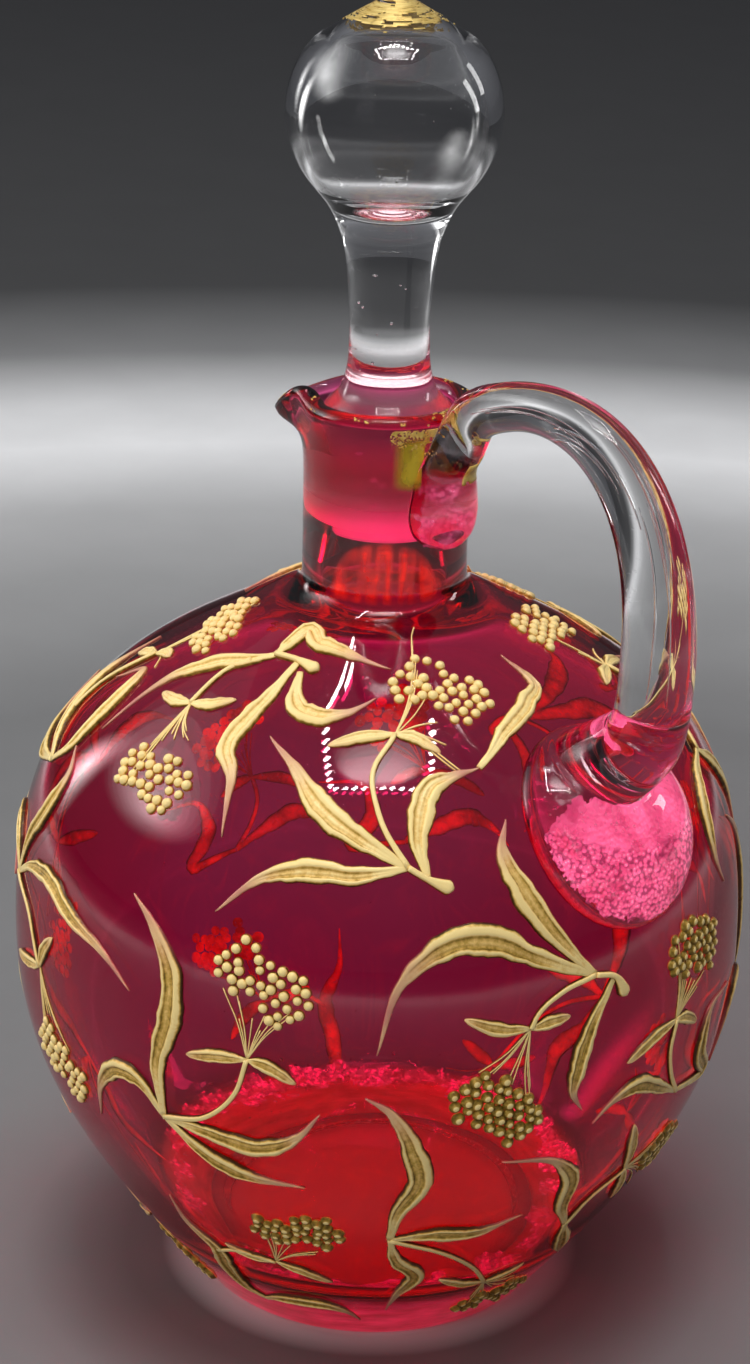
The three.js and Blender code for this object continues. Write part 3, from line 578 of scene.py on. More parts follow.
def gilding(name, stretch, dark, light, faded=False):
    """Worn gold with fine strokes and brown spots."""
    nodes = Nodes(bpy.data.materials.new(name))
    place = nodes.place()
    strokes = nodes.noise(nodes.stretched(place, stretch), 6.0, 4.0, 0.6)
    spots = nodes.noise(place, 700.0, 3.0)
    colour = nodes.ramp(strokes, [(0.3, dark), (0.7, light)])
    colour = nodes.blend(nodes.grey_ramp(spots, [(0.55, 0.0), (0.7, 0.6)]), colour, (0.30, 0.14, 0.03, 1))
    inputs = {
        "Base Color": colour,
        "Metallic": 0.4,
        "Roughness": nodes.grey_ramp(strokes, [(0.3, 0.22), (0.7, 0.42)]),
        "Normal": nodes.bump(spots, 0.00006, 0.5),
    }
    if faded:
        inputs["Alpha"] = nodes.attribute("cover")
    return nodes.surface(inputs)


def seam(name):
    """A pink layer, finely bubbled and pitted where it is rough, with a painted glow of its own colour."""
    nodes = Nodes(bpy.data.materials.new(name))
    place = nodes.place()
    patches = nodes.noise(place, 150.0, 4.0, 0.6)
    pits = nodes.add("ShaderNodeTexVoronoi", {"Vector": place, "Scale": 1500.0}).outputs["Distance"]
    rough = nodes.attribute("rough")
    colour = nodes.ramp(patches, [(0.3, (0.88, 0.05, 0.20)), (0.7, (1.0, 0.17, 0.38))])
    dots = nodes.math("MULTIPLY", rough, nodes.grey_ramp(pits, [(0.1, 0.9), (0.22, 0.0)]))
    colour = nodes.blend(dots, colour, (1.0, 0.52, 0.70, 1))
    gaps = nodes.math("MULTIPLY", rough, nodes.grey_ramp(pits, [(0.5, 0.0), (0.68, 0.8)]))
    colour = nodes.blend(gaps, colour, (0.30, 0.010, 0.07, 1))
    uneven = nodes.grey_ramp(patches, [(0.35, 0.35), (0.65, 1.0)])
    inputs = {
        "Base Color": colour,
        "Roughness": 0.3,
        "Alpha": nodes.math("MULTIPLY", nodes.attribute("cover"), uneven),
        # Painted glow: the seam gives off its own colour as light
        "Emission Color": colour,
        "Emission Strength": 0.42,
        "Normal": nodes.bump(pits, 0.0003, 0.7),
    }
    return nodes.surface(inputs)


def painted_glow_layer(name, dark, light):
    """Painted ruby glow under the skin of the glass, standing in for red light gathered in it."""
    nodes = Nodes(bpy.data.materials.new(name))
    place = nodes.place()
    streaks = nodes.noise(nodes.stretched(place, (60.0, 60.0, 260.0)), 2.0, 4.0, 0.6)
    colour = nodes.ramp(streaks, [(0.35, dark), (0.65, light)])
    inputs = {
        "Base Color": colour,
        "Roughness": 0.4,
        "Alpha": nodes.math("MULTIPLY", nodes.attribute("cover"), 0.85),
        "Normal": nodes.bump(streaks, 0.0001, 0.3),
        "Emission Color": colour,
        "Emission Strength": 0.32,
    }
    return nodes.surface(inputs)


cranberry_glass = glass("cranberry_glass", (0.960, 0.010, 0.50), 740.0)
clear_glass = glass("clear_glass", waviness=0.6)
stopper_glass = glass("stopper_glass", ground_below=plug_top_height)
raised_enamel = enamel("raised_enamel")
turned_gilding = gilding("turned_gilding", (60, 60, 900), (0.60, 0.36, 0.06), (0.98, 0.76, 0.28))
worn_gilding = gilding("worn_gilding", (90, 90, 90), (0.62, 0.38, 0.05), (0.98, 0.74, 0.22))
painted_gold_reflection = gilding("painted_gold_reflection", (30, 30, 12), (0.50, 0.35, 0.012), (0.92, 0.66, 0.050), True)
pink_seam_painted_glow = seam("pink_seam_painted_glow")
# Painted glows of ruby and red light in the glass
ruby_painted_glow = painted_glow_layer("ruby_painted_glow", (0.62, 0.006, 0.05), (0.95, 0.04, 0.16))
red_painted_glow = painted_glow_layer("red_painted_glow", (0.50, 0.003, 0.004), (1.0, 0.06, 0.01))


# Bottle

foot = np.array([FOOT_RADIUS, 0.0])
widest = np.array([BODY_RADIUS, WIDEST_HEIGHT])
shoulder_end = np.array([SHOULDER_END_RADIUS, SHOULDER_END_HEIGHT])
lower_body = bezier(foot, foot + FOOT_PULL * np.array([FOOT_SLOPE, 1]), widest - [0, HIP_PULL], widest, 70)
upper_body = bezier(
    widest,
    widest + [0, SHOULDER_PULL],
    shoulder_end + SHOULDER_END_PULL * np.array([SHOULDER_END_SLOPE, -1]),
    shoulder_end,
    90,
)
hollow_run = 0.65 * (SHOULDER_END_RADIUS - NECK_RADIUS)
neck_fillet = bezier(
    shoulder_end,
    shoulder_end + [-hollow_run, hollow_run / SHOULDER_END_SLOPE],
    (NECK_RADIUS, neck_foot_height - NECK_FILLET_HEIGHT / 2),
    (NECK_RADIUS, neck_foot_height),
    16,
)
body_outline = np.vstack([lower_body, upper_body[1:]])
outline_steps = directions(body_outline)


def body_at(height):
    """Radius of the body's outside at a height, and the parts of its normal outward and upward."""
    radius = np.interp(height, body_outline[:, 1], body_outline[:, 0])
    outward = np.interp(height, body_outline[:, 1], outline_steps[:, 1])
    upward = -np.interp(height, body_outline[:, 1], outline_steps[:, 0])
    return radius, outward, upward


def on_glass(azimuth, height, lift):
    radius, outward, upward = body_at(height)
    normal = around(azimuth, outward, upward)
    return around(azimuth, radius, height) + lift * normal, normal


def seat_on_glass(start, direction, rise):
    """Moves a point along a direction until it lies a rise above the glass."""
    point = np.array(start, float)
    for _ in range(7):
        radius, outward, _upward = body_at(point[2])
        point += (radius - np.hypot(point[0], point[1])) * outward * direction
    return point + rise * direction


def flare_radius(height):
    share = np.clip((height - flare_start_height) / FLARE_LENGTH, 0, 1)
    return NECK_RADIUS + (RIM_RADIUS - NECK_RADIUS) * share**2


def rim_round():
    angles = np.linspace(0, math.pi, RIM_STEPS + 1)
    radii = rim_middle + rim_edge * np.cos(angles)
    return np.stack([radii, rim_height - rim_edge + rim_edge * np.sin(angles)], axis=1)


def pull_lip(vertices):
    """Pulls the mouth out and down at the lip and curls its near edge up beside it."""
    vertices = np.array(vertices, float)
    x, y, z = vertices.T
    turn = np.degrees(np.arctan2(x, -y)) - LIP_AZIMUTH
    offset = (turn + 180) % 360 - 180
    share = np.clip((z - rim_height + LIP_LENGTH) / LIP_LENGTH, 0, 1)
    rise = np.sin(math.pi / 2 * np.minimum(1, share / 0.84)) ** 3
    lip = rise * np.exp(-np.abs(offset / (1.15 * LIP_HALF_ANGLE)) ** 3)
    curl = rise * np.exp(-(((offset - CURL_ANGLE) / CURL_HALF_ANGLE) ** 2))
    stretch = 1 + LIP_REACH * lip / np.maximum(np.hypot(x, y), 1)
    return np.stack([x * stretch, y * stretch, z + CURL_LIFT * curl - LIP_DROP * lip], axis=1)


def foot_profile():
    """The hollow underside and the ring that the bottle stands on."""
    ring_inside = FOOT_RADIUS - FOOT_RING_WIDTH
    ring = FOOT_RADIUS - FOOT_RING_INSET
    hollow = bezier((ring_inside, FOOT_HOLLOW), (ring - 2, FOOT_HOLLOW), (ring - 1.6, 0), (ring, 0), 8)
    edge = bezier((ring, 0), (ring + 1.4, 0), (FOOT_RADIUS, 0.15), (FOOT_RADIUS + 0.45, 0.6), 6)
    return np.vstack([[(0, FOOT_HOLLOW), (ring_inside / 2, FOOT_HOLLOW)], hollow, edge[1:-1]])


def inside_profile():
    """The inside from the neck's bore down the wall to the middle of the floor."""
    outline = np.vstack([body_outline, neck_fillet[1:]])
    steps = directions(outline)
    inner = outline + BODY_WALL * np.stack([-steps[:, 1], steps[:, 0]], axis=1)
    corner_height = FLOOR_THICKNESS + BASE_CORNER_RISE
    wide_enough = inner[:, 0] > LOWER_BORE_RADIUS + 8
    wall = inner[wide_enough & (inner[:, 1] > corner_height) & (outline[:, 1] < SHOULDER_END_HEIGHT)]
    top = wall[-1]
    bore_end = (LOWER_BORE_RADIUS, SHOULDER_END_HEIGHT + 3)
    roof = bezier(bore_end, (LOWER_BORE_RADIUS, SHOULDER_END_HEIGHT - 1), top + [-5, 2.6], top, 14)
    low = wall[0]
    down = unit(wall[0] - wall[1])
    floor_edge = np.array([FLOOR_FLAT_RADIUS, FLOOR_THICKNESS])
    bowl = bezier(low, low + 5.5 * down, floor_edge + [7, 0], floor_edge, 24)
    floor = [(FLOOR_FLAT_RADIUS * share, FLOOR_THICKNESS) for share in (0.8, 0.5, 0)]
    return np.vstack([roof[:-1], wall[::-1], bowl[1:], floor])


# The stretch of the inside where the wall runs into the floor
inside_bowl = inside_profile()
near_floor = inside_bowl[:, 1] < FLOOR_THICKNESS + 3
past_floor = inside_bowl[:, 0] > FLOOR_FLAT_RADIUS + 3
inside_bowl = inside_bowl[near_floor & past_floor]


def bottle_shell():
    lower = body_outline[body_outline[:, 1] > 0.6]
    flare_heights = np.linspace(flare_start_height, rim_height - rim_edge, 14)
    flare = [(flare_radius(height), height) for height in flare_heights]
    seat = [
        (seat_top_radius, plug_top_height),
        (seat_foot_radius, plug_foot_height),
        (seat_foot_radius + 0.3, plug_foot_height - 1.5),
        (LOWER_BORE_RADIUS, plug_foot_height - 5),
    ]
    seat = smooth_line(seat, 8)
    inside = inside_profile()
    outside = np.vstack([foot_profile(), lower, neck_fillet[1:], flare, rim_round()[1:]])
    vertices, faces = turned(np.vstack([outside, seat, inside]), BOTTLE_SIDES)
    first_inside = (len(outside) + len(seat) - 1) * BOTTLE_SIDES
    for i in range(first_inside, len(vertices) - 2):
        x, y, z = vertices[i]
        fade = clamp((z - FLOOR_THICKNESS) / WALL_WAVE_FADE)
        fade *= clamp((SHOULDER_END_HEIGHT - z) / WALL_WAVE_FADE)
        wave = noise_at((x, y, z * 0.6), WALL_WAVE_LENGTH)
        swell = 1 + fade * WALL_UNEVENNESS * wave / max(np.hypot(x, y), 1)
        vertices[i] = (x * swell, y * swell, z)
    shells = [facing((pull_lip(vertices), faces))]
    chance = random.Random(5)
    for _ in range(BASE_BUBBLES):
        height = chance.uniform(*BASE_BUBBLE_HEIGHTS)
        radius = chance.uniform(*BASE_BUBBLE_RADII)
        azimuth = chance.uniform(0, 360)
        depth = chance.uniform(0.3 + radius, 2.1 - radius)
        shells.append(bubble(on_glass(azimuth, height, -depth)[0], radius))
    for _ in range(WALL_BUBBLES):
        azimuth = chance.uniform(0, 360)
        height = chance.uniform(*WALL_BUBBLE_HEIGHTS)
        spot = on_glass(azimuth, height, -chance.uniform(0.4, 2))[0]
        shells.append(bubble(spot, chance.uniform(*WALL_BUBBLE_RADII)))
    return together(shells)


# Handle


# The strap on the neck, upwards from its end: rise, and shares of its full width and thickness
STRAP_SHAPE = [
    *[(-0.3, 0.12, 0.2), (0.2, 0.42, 0.5), (1.2, 0.7, 0.72), (2.8, 0.93, 0.9)],
    *[(5.5, 1.05, 1.0), (9.0, 1.0, 1.0), (13.0, 0.87, 0.96)],
]
# The rod's way from the arch's foot to the pad: shares of the way down and inwards, and its radius
LANDING_SHAPE = [(0.35, 0.02, 5.85), (0.6, 0.07, 6.0), (0.78, 0.16, 6.3), (0.9, 0.3, 6.8)]
# Rings over the pad's top, round its edge with their rise, and under it, as shares of the way out
PAD_TOP_SHARES = (0, 0.06, 0.12, 0.2, 0.32, 0.45, 0.58, 0.7, 0.8, 0.88, 0.94, 0.975, 0.995)
PAD_EDGE = [(1.0, 0.25), (0.995, -0.05)]
PAD_UNDER_SHARES = (0.97, 0.8, 0.5, 0.2)


def strap_stations():
    """The handle's end on the neck: distance, height, half width, outer depth and inner depth."""
    stations = []
    full = 2 * HANDLE_END_HALF_THICKNESS
    width = HANDLE_END_HALF_WIDTH
    for rise, width_share, depth_share in STRAP_SHAPE:
        height = neck_foot_height + HANDLE_END_RISE + rise
        distance = flare_radius(height) + STRAP_BED - FUSED_DEPTH
        outer = full * depth_share - STRAP_BED
        stations.append((distance, height, width * width_share, outer, STRAP_BED))
    return stations


def rod_stations():
    """The strap's stations, then those over the rim, along the arch and down to the pad."""
    stations = strap_stations()
    past_rim = RIM_RADIUS + 1 + CROWN_HALF_THICKNESS
    height = neck_foot_height + HANDLE_END_RISE + STRAP_TOP_RISE
    depths = (STRAP_TOP_OUTER_DEPTH, STRAP_TOP_INNER_DEPTH)
    width = STRAP_TOP_NARROWING * HANDLE_END_HALF_WIDTH
    stations.append((past_rim - STRAP_TOP_INSET, height, width, *depths))
    thick = CROWN_HALF_THICKNESS
    bend_height = rim_height + RIM_BEND_RISE
    stations.append((past_rim - RIM_BEND_INSET, bend_height, CROWN_HALF_WIDTH, 1.05 * thick, thick))
    crown_distance = NECK_RADIUS + CROWN_OVERHANG
    crown_height = rim_height + CROWN_RISE
    rising = past_rim + 0.45 * (crown_distance - past_rim)
    stations.append((rising, crown_height - CROWN_SAG, CROWN_HALF_WIDTH, thick, thick))
    handle_reach = BODY_RADIUS - HANDLE_INSET
    arch_foot_height = crown_height - ARCH_DROP
    for i in range(ARCH_STEPS + 1):
        angle = math.pi / 2 * i / ARCH_STEPS
        out = math.sin(angle) ** (2 / ARCH_SQUARENESS)
        up = max(0.0, math.cos(angle)) ** (2 / ARCH_SQUARENESS)
        distance = crown_distance + (handle_reach - crown_distance) * out
        height = arch_foot_height + (crown_height - arch_foot_height) * up
        width = CROWN_HALF_WIDTH + (ROD_RADIUS - CROWN_HALF_WIDTH) * i / ARCH_STEPS
        depth = thick + (ROD_RADIUS - thick) * i / ARCH_STEPS
        stations.append((distance, height, width, depth, depth))
    landing, _normal = on_glass(HANDLE_AZIMUTH, pad_height + ROD_LANDING_RISE, PAD_THICKNESS / 2)
    landing_distance = math.hypot(landing[0], landing[1])
    for down, inward, radius in LANDING_SHAPE:
        distance = handle_reach + (landing_distance - handle_reach) * inward
        height = arch_foot_height + (landing[2] - arch_foot_height) * down
        stations.append((distance, height, radius, radius, radius))
    return stations


def rod_rings():
    stations = smooth_line(rod_stations(), ROD_STEPS)
    steps = np.gradient(stations[:, :2], axis=0)
    angles = turns(ROD_SIDES)
    rings = []
    for (distance, height, width, outer, inner), step in zip(stations, steps):
        along = unit(step)
        out = np.array([along[1], -along[0]])
        ring = []
        for angle in angles:
            depth = (outer if math.cos(angle) > 0 else inner) * math.cos(angle)
            spot = np.array([distance, height]) + depth * out
            turn = math.degrees(width * math.sin(angle) / spot[0])
            ring.append(around(HANDLE_AZIMUTH + turn, spot[0], spot[1]))
        rings.append(np.array(ring))
    return rings


handle_rod = rod_rings()

# The pad's middle on the glass, its normal there, and the ways across and up it
pad_centre, pad_normal = on_glass(HANDLE_AZIMUTH, pad_height, 0)
pad_across = around(HANDLE_AZIMUTH + 90, 1, 0)
pad_up = np.cross(pad_normal, pad_across)


def pad_heading(angle):
    return math.cos(angle) * pad_up + math.sin(angle) * pad_across


def pad_height_at(u, v, root_radius):
    """Height of the pad's top over the glass, with a crease round the rod's root."""
    share = min(1.0, math.hypot(u, v) / PAD_RADIUS)
    dome = PAD_EDGE_THICKNESS + PAD_THICKNESS * (1 - share**2.4) ** 0.7
    from_root = math.hypot(u - ROD_LANDING_RISE, v) - root_radius
    crease = PAD_CREASE_DEPTH * math.exp(-((from_root / PAD_CREASE_WIDTH) ** 2))
    return dome - crease


def pad_rings():
    """Rings that run from the rod's root over the pad's top, round its edge and under it."""
    angles = turns(ROD_SIDES)
    rings = []
    root_radius = ROD_LANDING_RADIUS + PAD_ROOT_MARGIN
    for share in PAD_TOP_SHARES:
        radius = root_radius + (PAD_RADIUS - root_radius) * share
        offset = ROD_LANDING_RISE * (1 - share)
        ring = []
        for angle in angles:
            u = offset + radius * math.cos(angle)
            v = radius * math.sin(angle)
            start = pad_centre + u * pad_up + v * pad_across
            ring.append(seat_on_glass(start, pad_normal, pad_height_at(u, v, root_radius)))
        rings.append(np.array(ring))
    for share, rise in [*PAD_EDGE, *((share, -FUSED_DEPTH) for share in PAD_UNDER_SHARES)]:
        ring = []
        for angle in angles:
            flat = pad_centre + PAD_RADIUS * share * pad_heading(angle)
            ring.append(seat_on_glass(flat, pad_normal, rise))
        rings.append(np.array(ring))
    return rings


def drawn_bubble(rings, side, share, radius):
    """A bubble drawn out into a hair along the rod, at a share of the way to one side of it."""
    shell = []
    angles = turns(DRAWN_BUBBLE_SIDES)[:, None]
    for i, ring in enumerate(rings):
        centre = ring.mean(axis=0)
        out = unit(ring[side] - centre)
        across = unit(ring[(side + ROD_SIDES // 4) % ROD_SIDES] - centre)
        spot = centre + share * (ring[side] - centre)
        thick = radius * math.sin(math.pi * (i + 0.3) / len(rings)) ** 0.5
        shell.append(spot + thick * (np.cos(angles) * out + np.sin(angles) * across))
    return facing(skinned(shell), outwards=False)


def handle_shell():
    shells = [facing(skinned(handle_rod + pad_rings()))]
    chance = random.Random(7)
    for _ in range(ROD_BUBBLES):
        first = chance.randrange(38, 80)
        side = chance.randrange(ROD_SIDES)
        rings = handle_rod[first : first + chance.randrange(*ROD_BUBBLE_RINGS)]
        share = chance.uniform(0.3, 0.8)
        shells.append(drawn_bubble(rings, side, share, chance.uniform(*ROD_BUBBLE_RADII)))
    for _ in range(PAD_BUBBLES):
        reach = 0.88 * PAD_RADIUS * math.sqrt(chance.random())
        flat = pad_centre + reach * pad_heading(chance.uniform(0, 2 * math.pi))
        radius = chance.uniform(*PAD_BUBBLE_RADII)
        shells.append(bubble(seat_on_glass(flat, pad_normal, chance.uniform(0.7, 1.2)), radius))
    return together(shells)


# Thin layers on the glass and in it


def patchwork(under, over, kept, closed):
    """A thin layer over the cells of a grid that are kept, with walls where it is worn away."""
    rows, columns = kept.shape
    width = under.shape[1]
    vertices = np.concatenate([under.reshape(-1, 3), over.reshape(-1, 3)])
    top = len(vertices) // 2
    faces = []
    for i in range(rows):
        for j in range(columns):
            if not kept[i, j]:
                continue
            k = (j + 1) % width if closed else j + 1
            corners = [i * width + j, i * width + k, (i + 1) * width + k, (i + 1) * width + j]
            faces.append(tuple(top + c for c in corners))
            faces.append(tuple(reversed(corners)))
            sides = [(i - 1, j), (i, k if closed else j + 1), (i + 1, j), (i, j - 1)]
            for side, (row, column) in enumerate(sides):
                inside = 0 <= row < rows and (closed or 0 <= column < columns)
                if inside and kept[row, column % columns]:
                    continue
                a = corners[side]
                b = corners[(side + 1) % 4]
                faces.append((a, b, top + b, top + a))
    used = sorted({corner for face in faces for corner in face})
    place = {corner: i for i, corner in enumerate(used)}
    return vertices[used], [tuple(place[corner] for corner in face) for face in faces]


def everywhere(along, turn, spot):
    return True


def thin_layer(spot, rows, columns, stays=everywhere, closed=False):
    """A layer on a surface that spot gives from two shares and a lift, where it isn't worn away."""
    width = columns if closed else columns + 1
    under, over = (
        np.array([[spot(i / rows, j / columns, lift) for j in range(width)] for i in range(rows + 1)])
        for lift in (-0.02, LAYER_THICKNESS)
    )
    kept = [[stays(i / rows, j / columns, under[i, j]) for j in range(columns)] for i in range(rows)]
    return patchwork(under, over, np.array(kept), closed)


def layer_piece(name, material, shell, marks):
    """A layer with a cover of its own at each place and, where marks gives one, a roughness."""
    values = np.array([np.atleast_1d(marks(vertex)) for vertex in shell[0]]).T
    piece(name, shell, material, "bottle", attributes=dict(zip(("cover", "rough"), values)))


def pad_place(point):
    """How far up and across the pad a point lies from its centre."""
    return (point - pad_centre) @ pad_up, (point - pad_centre) @ pad_across


def pad_film_spot(along, turn, lift):
    reach = PAD_FILM_REACH * PAD_RADIUS
    u = reach * (1.5 * along - 1)
    v = reach * (2 * turn - 1)
    flat = pad_centre + u * pad_up + v * pad_across
    lumps = 0.2 * (0.6 + noise_at(flat, 0.55)) * pad_film_roughness(u, v)
    return seat_on_glass(flat, pad_normal, FILM_RISE + lift + lumps)


def pad_film_roughness(u, v):
    """The pad's lower part is bubbly, below a line that sags."""
    return clamp((-4.5 - u + 0.03 * v**2 - 0.2 * v) / 1.2)


def pad_film_stays(along, turn, spot):
    u, v = pad_place(spot)
    ragged = 0.9 * noise_at(spot, 1.6) + 0.4 * noise_at(spot, 0.6)
    from_edge = 0.9 * PAD_RADIUS - math.hypot(u + 0.3, v - 0.8)
    from_root = math.hypot(u - ROD_LANDING_RISE, v) - ROD_LANDING_RADIUS - 0.6
    return min(from_edge, from_root + 0.5, 6.5 + 0.3 * v - u) + ragged > 0


def pad_film_marks(point):
    u, v = pad_place(point)
    return 0.95 - 0.25 * clamp((u + 3) / 6), pad_film_roughness(u, v)


def strap_film_spot(along, turn, lift):
    height = neck_foot_height + HANDLE_END_RISE + STRAP_FILM_START + STRAP_FILM_LENGTH * along
    azimuth = HANDLE_AZIMUTH - STRAP_FILM_TURN / 2 + STRAP_FILM_TURN * turn
    lumps = 0.25 * noise_at((turn * 9, along * 9, 3), 0.8)
    return around(azimuth, flare_radius(height) + FILM_RISE + lift + lumps, height)


def strap_film_stays(along, turn, spot):
    tapered = 0.5 - abs(turn - 0.5) - 0.16 * max(0, 1 - 4 * along)
    return tapered + 0.12 * noise_at(spot, 1.4) - 0.1 * along > 0.04


def strap_film_marks(point):
    return 0.1 + 0.7 * max(0, noise_at(point, 3.2)), 0.8


# A bubbly ring round the inside of the foot, whose pale specks and glow are painted glints of the lamps in
# the wavy inner glass
def foot_glint_spot(along, turn, lift):
    shares = np.linspace(0, 1, len(inside_bowl))
    radius, height = (np.interp(along, shares, column) for column in inside_bowl.T)
    rise = lift + 0.12
    return around(360 * turn, radius - 0.5 * rise, height + 0.9 * rise)


def foot_glint_stays(along, turn, spot):
    return noise_at(spot, 5.0) + 0.5 * noise_at(spot, 1.2) > 1.4 * abs(along - 0.45) - 0.35


def foot_glint_marks(point):
    return clamp(2.2 * noise_at(point, 0.9) + 0.6 * noise_at(point, 4.0) + 0.3, 0.12), 1.0


# Painted red glow round the foot's edge, standing in for light gathered in the base
def foot_glow_spot(along, turn, lift):
    height = FOOT_GLOW_START + FOOT_GLOW_LENGTH * along
    return around(360 * turn, body_at(height)[0] - FOOT_GLOW_DEPTH + lift, height)


def foot_glow_marks(point):
    return clamp((FOOT_GLOW_LENGTH - point[2]) / FOOT_GLOW_FADE) * (0.9 + 0.3 * noise_at(point, 4.0))


# Painted red glow at the neck's foot, standing in for light gathered there
def neck_glow_spot(along, turn, lift):
    azimuth = CAMERA_AZIMUTH - NECK_GLOW_HALF_TURN + 2 * NECK_GLOW_HALF_TURN * turn
    height = neck_foot_height - NECK_GLOW_DROP + NECK_GLOW_LENGTH * along
    return around(azimuth, NECK_RADIUS - NECK_GLOW_DEPTH + lift, height)


def neck_glow_marks(point):
    """Red light gathers in an arch over the neck's foot, with upright streaks in it."""
    turn = (azimuth_of(point) - CAMERA_AZIMUTH) / NECK_GLOW_HALF_TURN
    along = (point[2] - neck_foot_height + NECK_GLOW_DROP) / NECK_GLOW_LENGTH
    arch = clamp(3.5 * (1 - abs(turn) ** 2.6 - max(0, along) ** 2.2))
    streaks = 0.45 + 1.1 * noise_at((turn * 12, along * 2.2, 0), 1.6)
    return arch * clamp(6 * along) * clamp(streaks, 0.1)


# Stopper


def ball_rise(radius):
    return math.sqrt(BALL_RADIUS**2 - radius**2)


def tip_height_at(radius):
    start_height = ball_height + ball_rise(TIP_START_RADIUS)
    run = max(0.0, 1 - radius / TIP_START_RADIUS)
    return start_height + (tip_height - start_height) * run**0.92


def stopper_outside():
    waist_height = plug_top_height + WAIST_RISE
    waist_top_height = ball_height - ball_rise(BALL_START_RADIUS) - WAIST_FLARE_HEIGHT
    flare_middle = 0.5 * (WAIST_TOP_RADIUS + BALL_START_RADIUS)
    plug = [
        (0.0, plug_foot_height),
        (PLUG_FOOT_RADIUS / 2, plug_foot_height),
        (PLUG_FOOT_RADIUS - PLUG_FOOT_ROUND, plug_foot_height),
        (PLUG_FOOT_RADIUS - 0.3, plug_foot_height + 0.2),
        (PLUG_FOOT_RADIUS, plug_foot_height + PLUG_FOOT_ROUND),
        (PLUG_TOP_RADIUS - 0.1, plug_top_height - 0.6),
    ]
    shoulder = smooth_line(
        [
            (PLUG_TOP_RADIUS, plug_top_height),
            (PLUG_TOP_RADIUS - 0.7, plug_top_height + 0.9),
            (WAIST_FOOT_RADIUS + 0.9, plug_top_height + 0.6 * PLUG_SHOULDER_RISE),
            (WAIST_FOOT_RADIUS, plug_top_height + PLUG_SHOULDER_RISE + 0.6),
            (WAIST_RADIUS, waist_height),
            (WAIST_RADIUS + 0.3, 0.6 * waist_height + 0.4 * waist_top_height),
            (WAIST_TOP_RADIUS, waist_top_height),
            (flare_middle - 0.25, waist_top_height + 0.56 * WAIST_FLARE_HEIGHT),
            (BALL_START_RADIUS, waist_top_height + WAIST_FLARE_HEIGHT),
        ],
        7,
    )
    low = -math.acos(BALL_START_RADIUS / BALL_RADIUS)
    high = math.acos(TIP_START_RADIUS / BALL_RADIUS)
    angles = np.linspace(low, high, 40)[1:-2]
    ball = np.stack([BALL_RADIUS * np.cos(angles), ball_height + BALL_RADIUS * np.sin(angles)], axis=1)
    tip_radii = TIP_START_RADIUS * np.linspace(1, 0, 22)[1:]
    tip = np.array([(radius, tip_height_at(radius)) for radius in tip_radii])
    return np.vstack([plug, shoulder, ball, tip])


def stopper_cavity():
    """The closed hollow in the ball, a little flat at its foot."""
    reach = BALL_RADIUS - BALL_WALL
    angles = np.linspace(-math.pi / 2, math.pi / 2, 60)
    heights = ball_height - CAVITY_DROP + reach * np.sin(angles) * np.where(angles < 0, 0.97, 1)
    radii = reach * np.cos(angles) ** np.where(angles < 0, 0.9, 1)
    radii[[0, -1]] = 0
    return np.stack([radii, heights], axis=1)


def stopper_shell():
    shells = [facing(turned(stopper_outside(), STOPPER_SIDES))]
    shells.append(facing(turned(stopper_cavity(), STOPPER_SIDES), outwards=False))
    chance = random.Random(11)
    for _ in range(BALL_BUBBLES):
        lift = math.radians(chance.uniform(-50, 60))
        reach = BALL_RADIUS - chance.uniform(0.6, 1.5)
        height = ball_height + reach * math.sin(lift)
        spot = around(chance.uniform(0, 360), reach * math.cos(lift), height)
        shells.append(bubble(spot, chance.uniform(*BALL_BUBBLE_RADII)))
    for _ in range(WAIST_BUBBLES):
        height = plug_top_height + chance.uniform(6, 22)
        spot = around(chance.uniform(0, 360), chance.uniform(4.2, 5.6), height)
        shells.append(bubble(spot, chance.uniform(*WAIST_BUBBLE_RADII)))
    for _ in range(PLUG_BUBBLES):
        height = plug_foot_height + chance.uniform(2, 17)
        spot = around(chance.uniform(0, 360), chance.uniform(0, 6.5), height)
        shells.append(bubble(spot, chance.uniform(*PLUG_BUBBLE_RADII)))
    return together(shells)


# Enamel sprays: degrees round the body, and percent of its height up to the shoulder's end

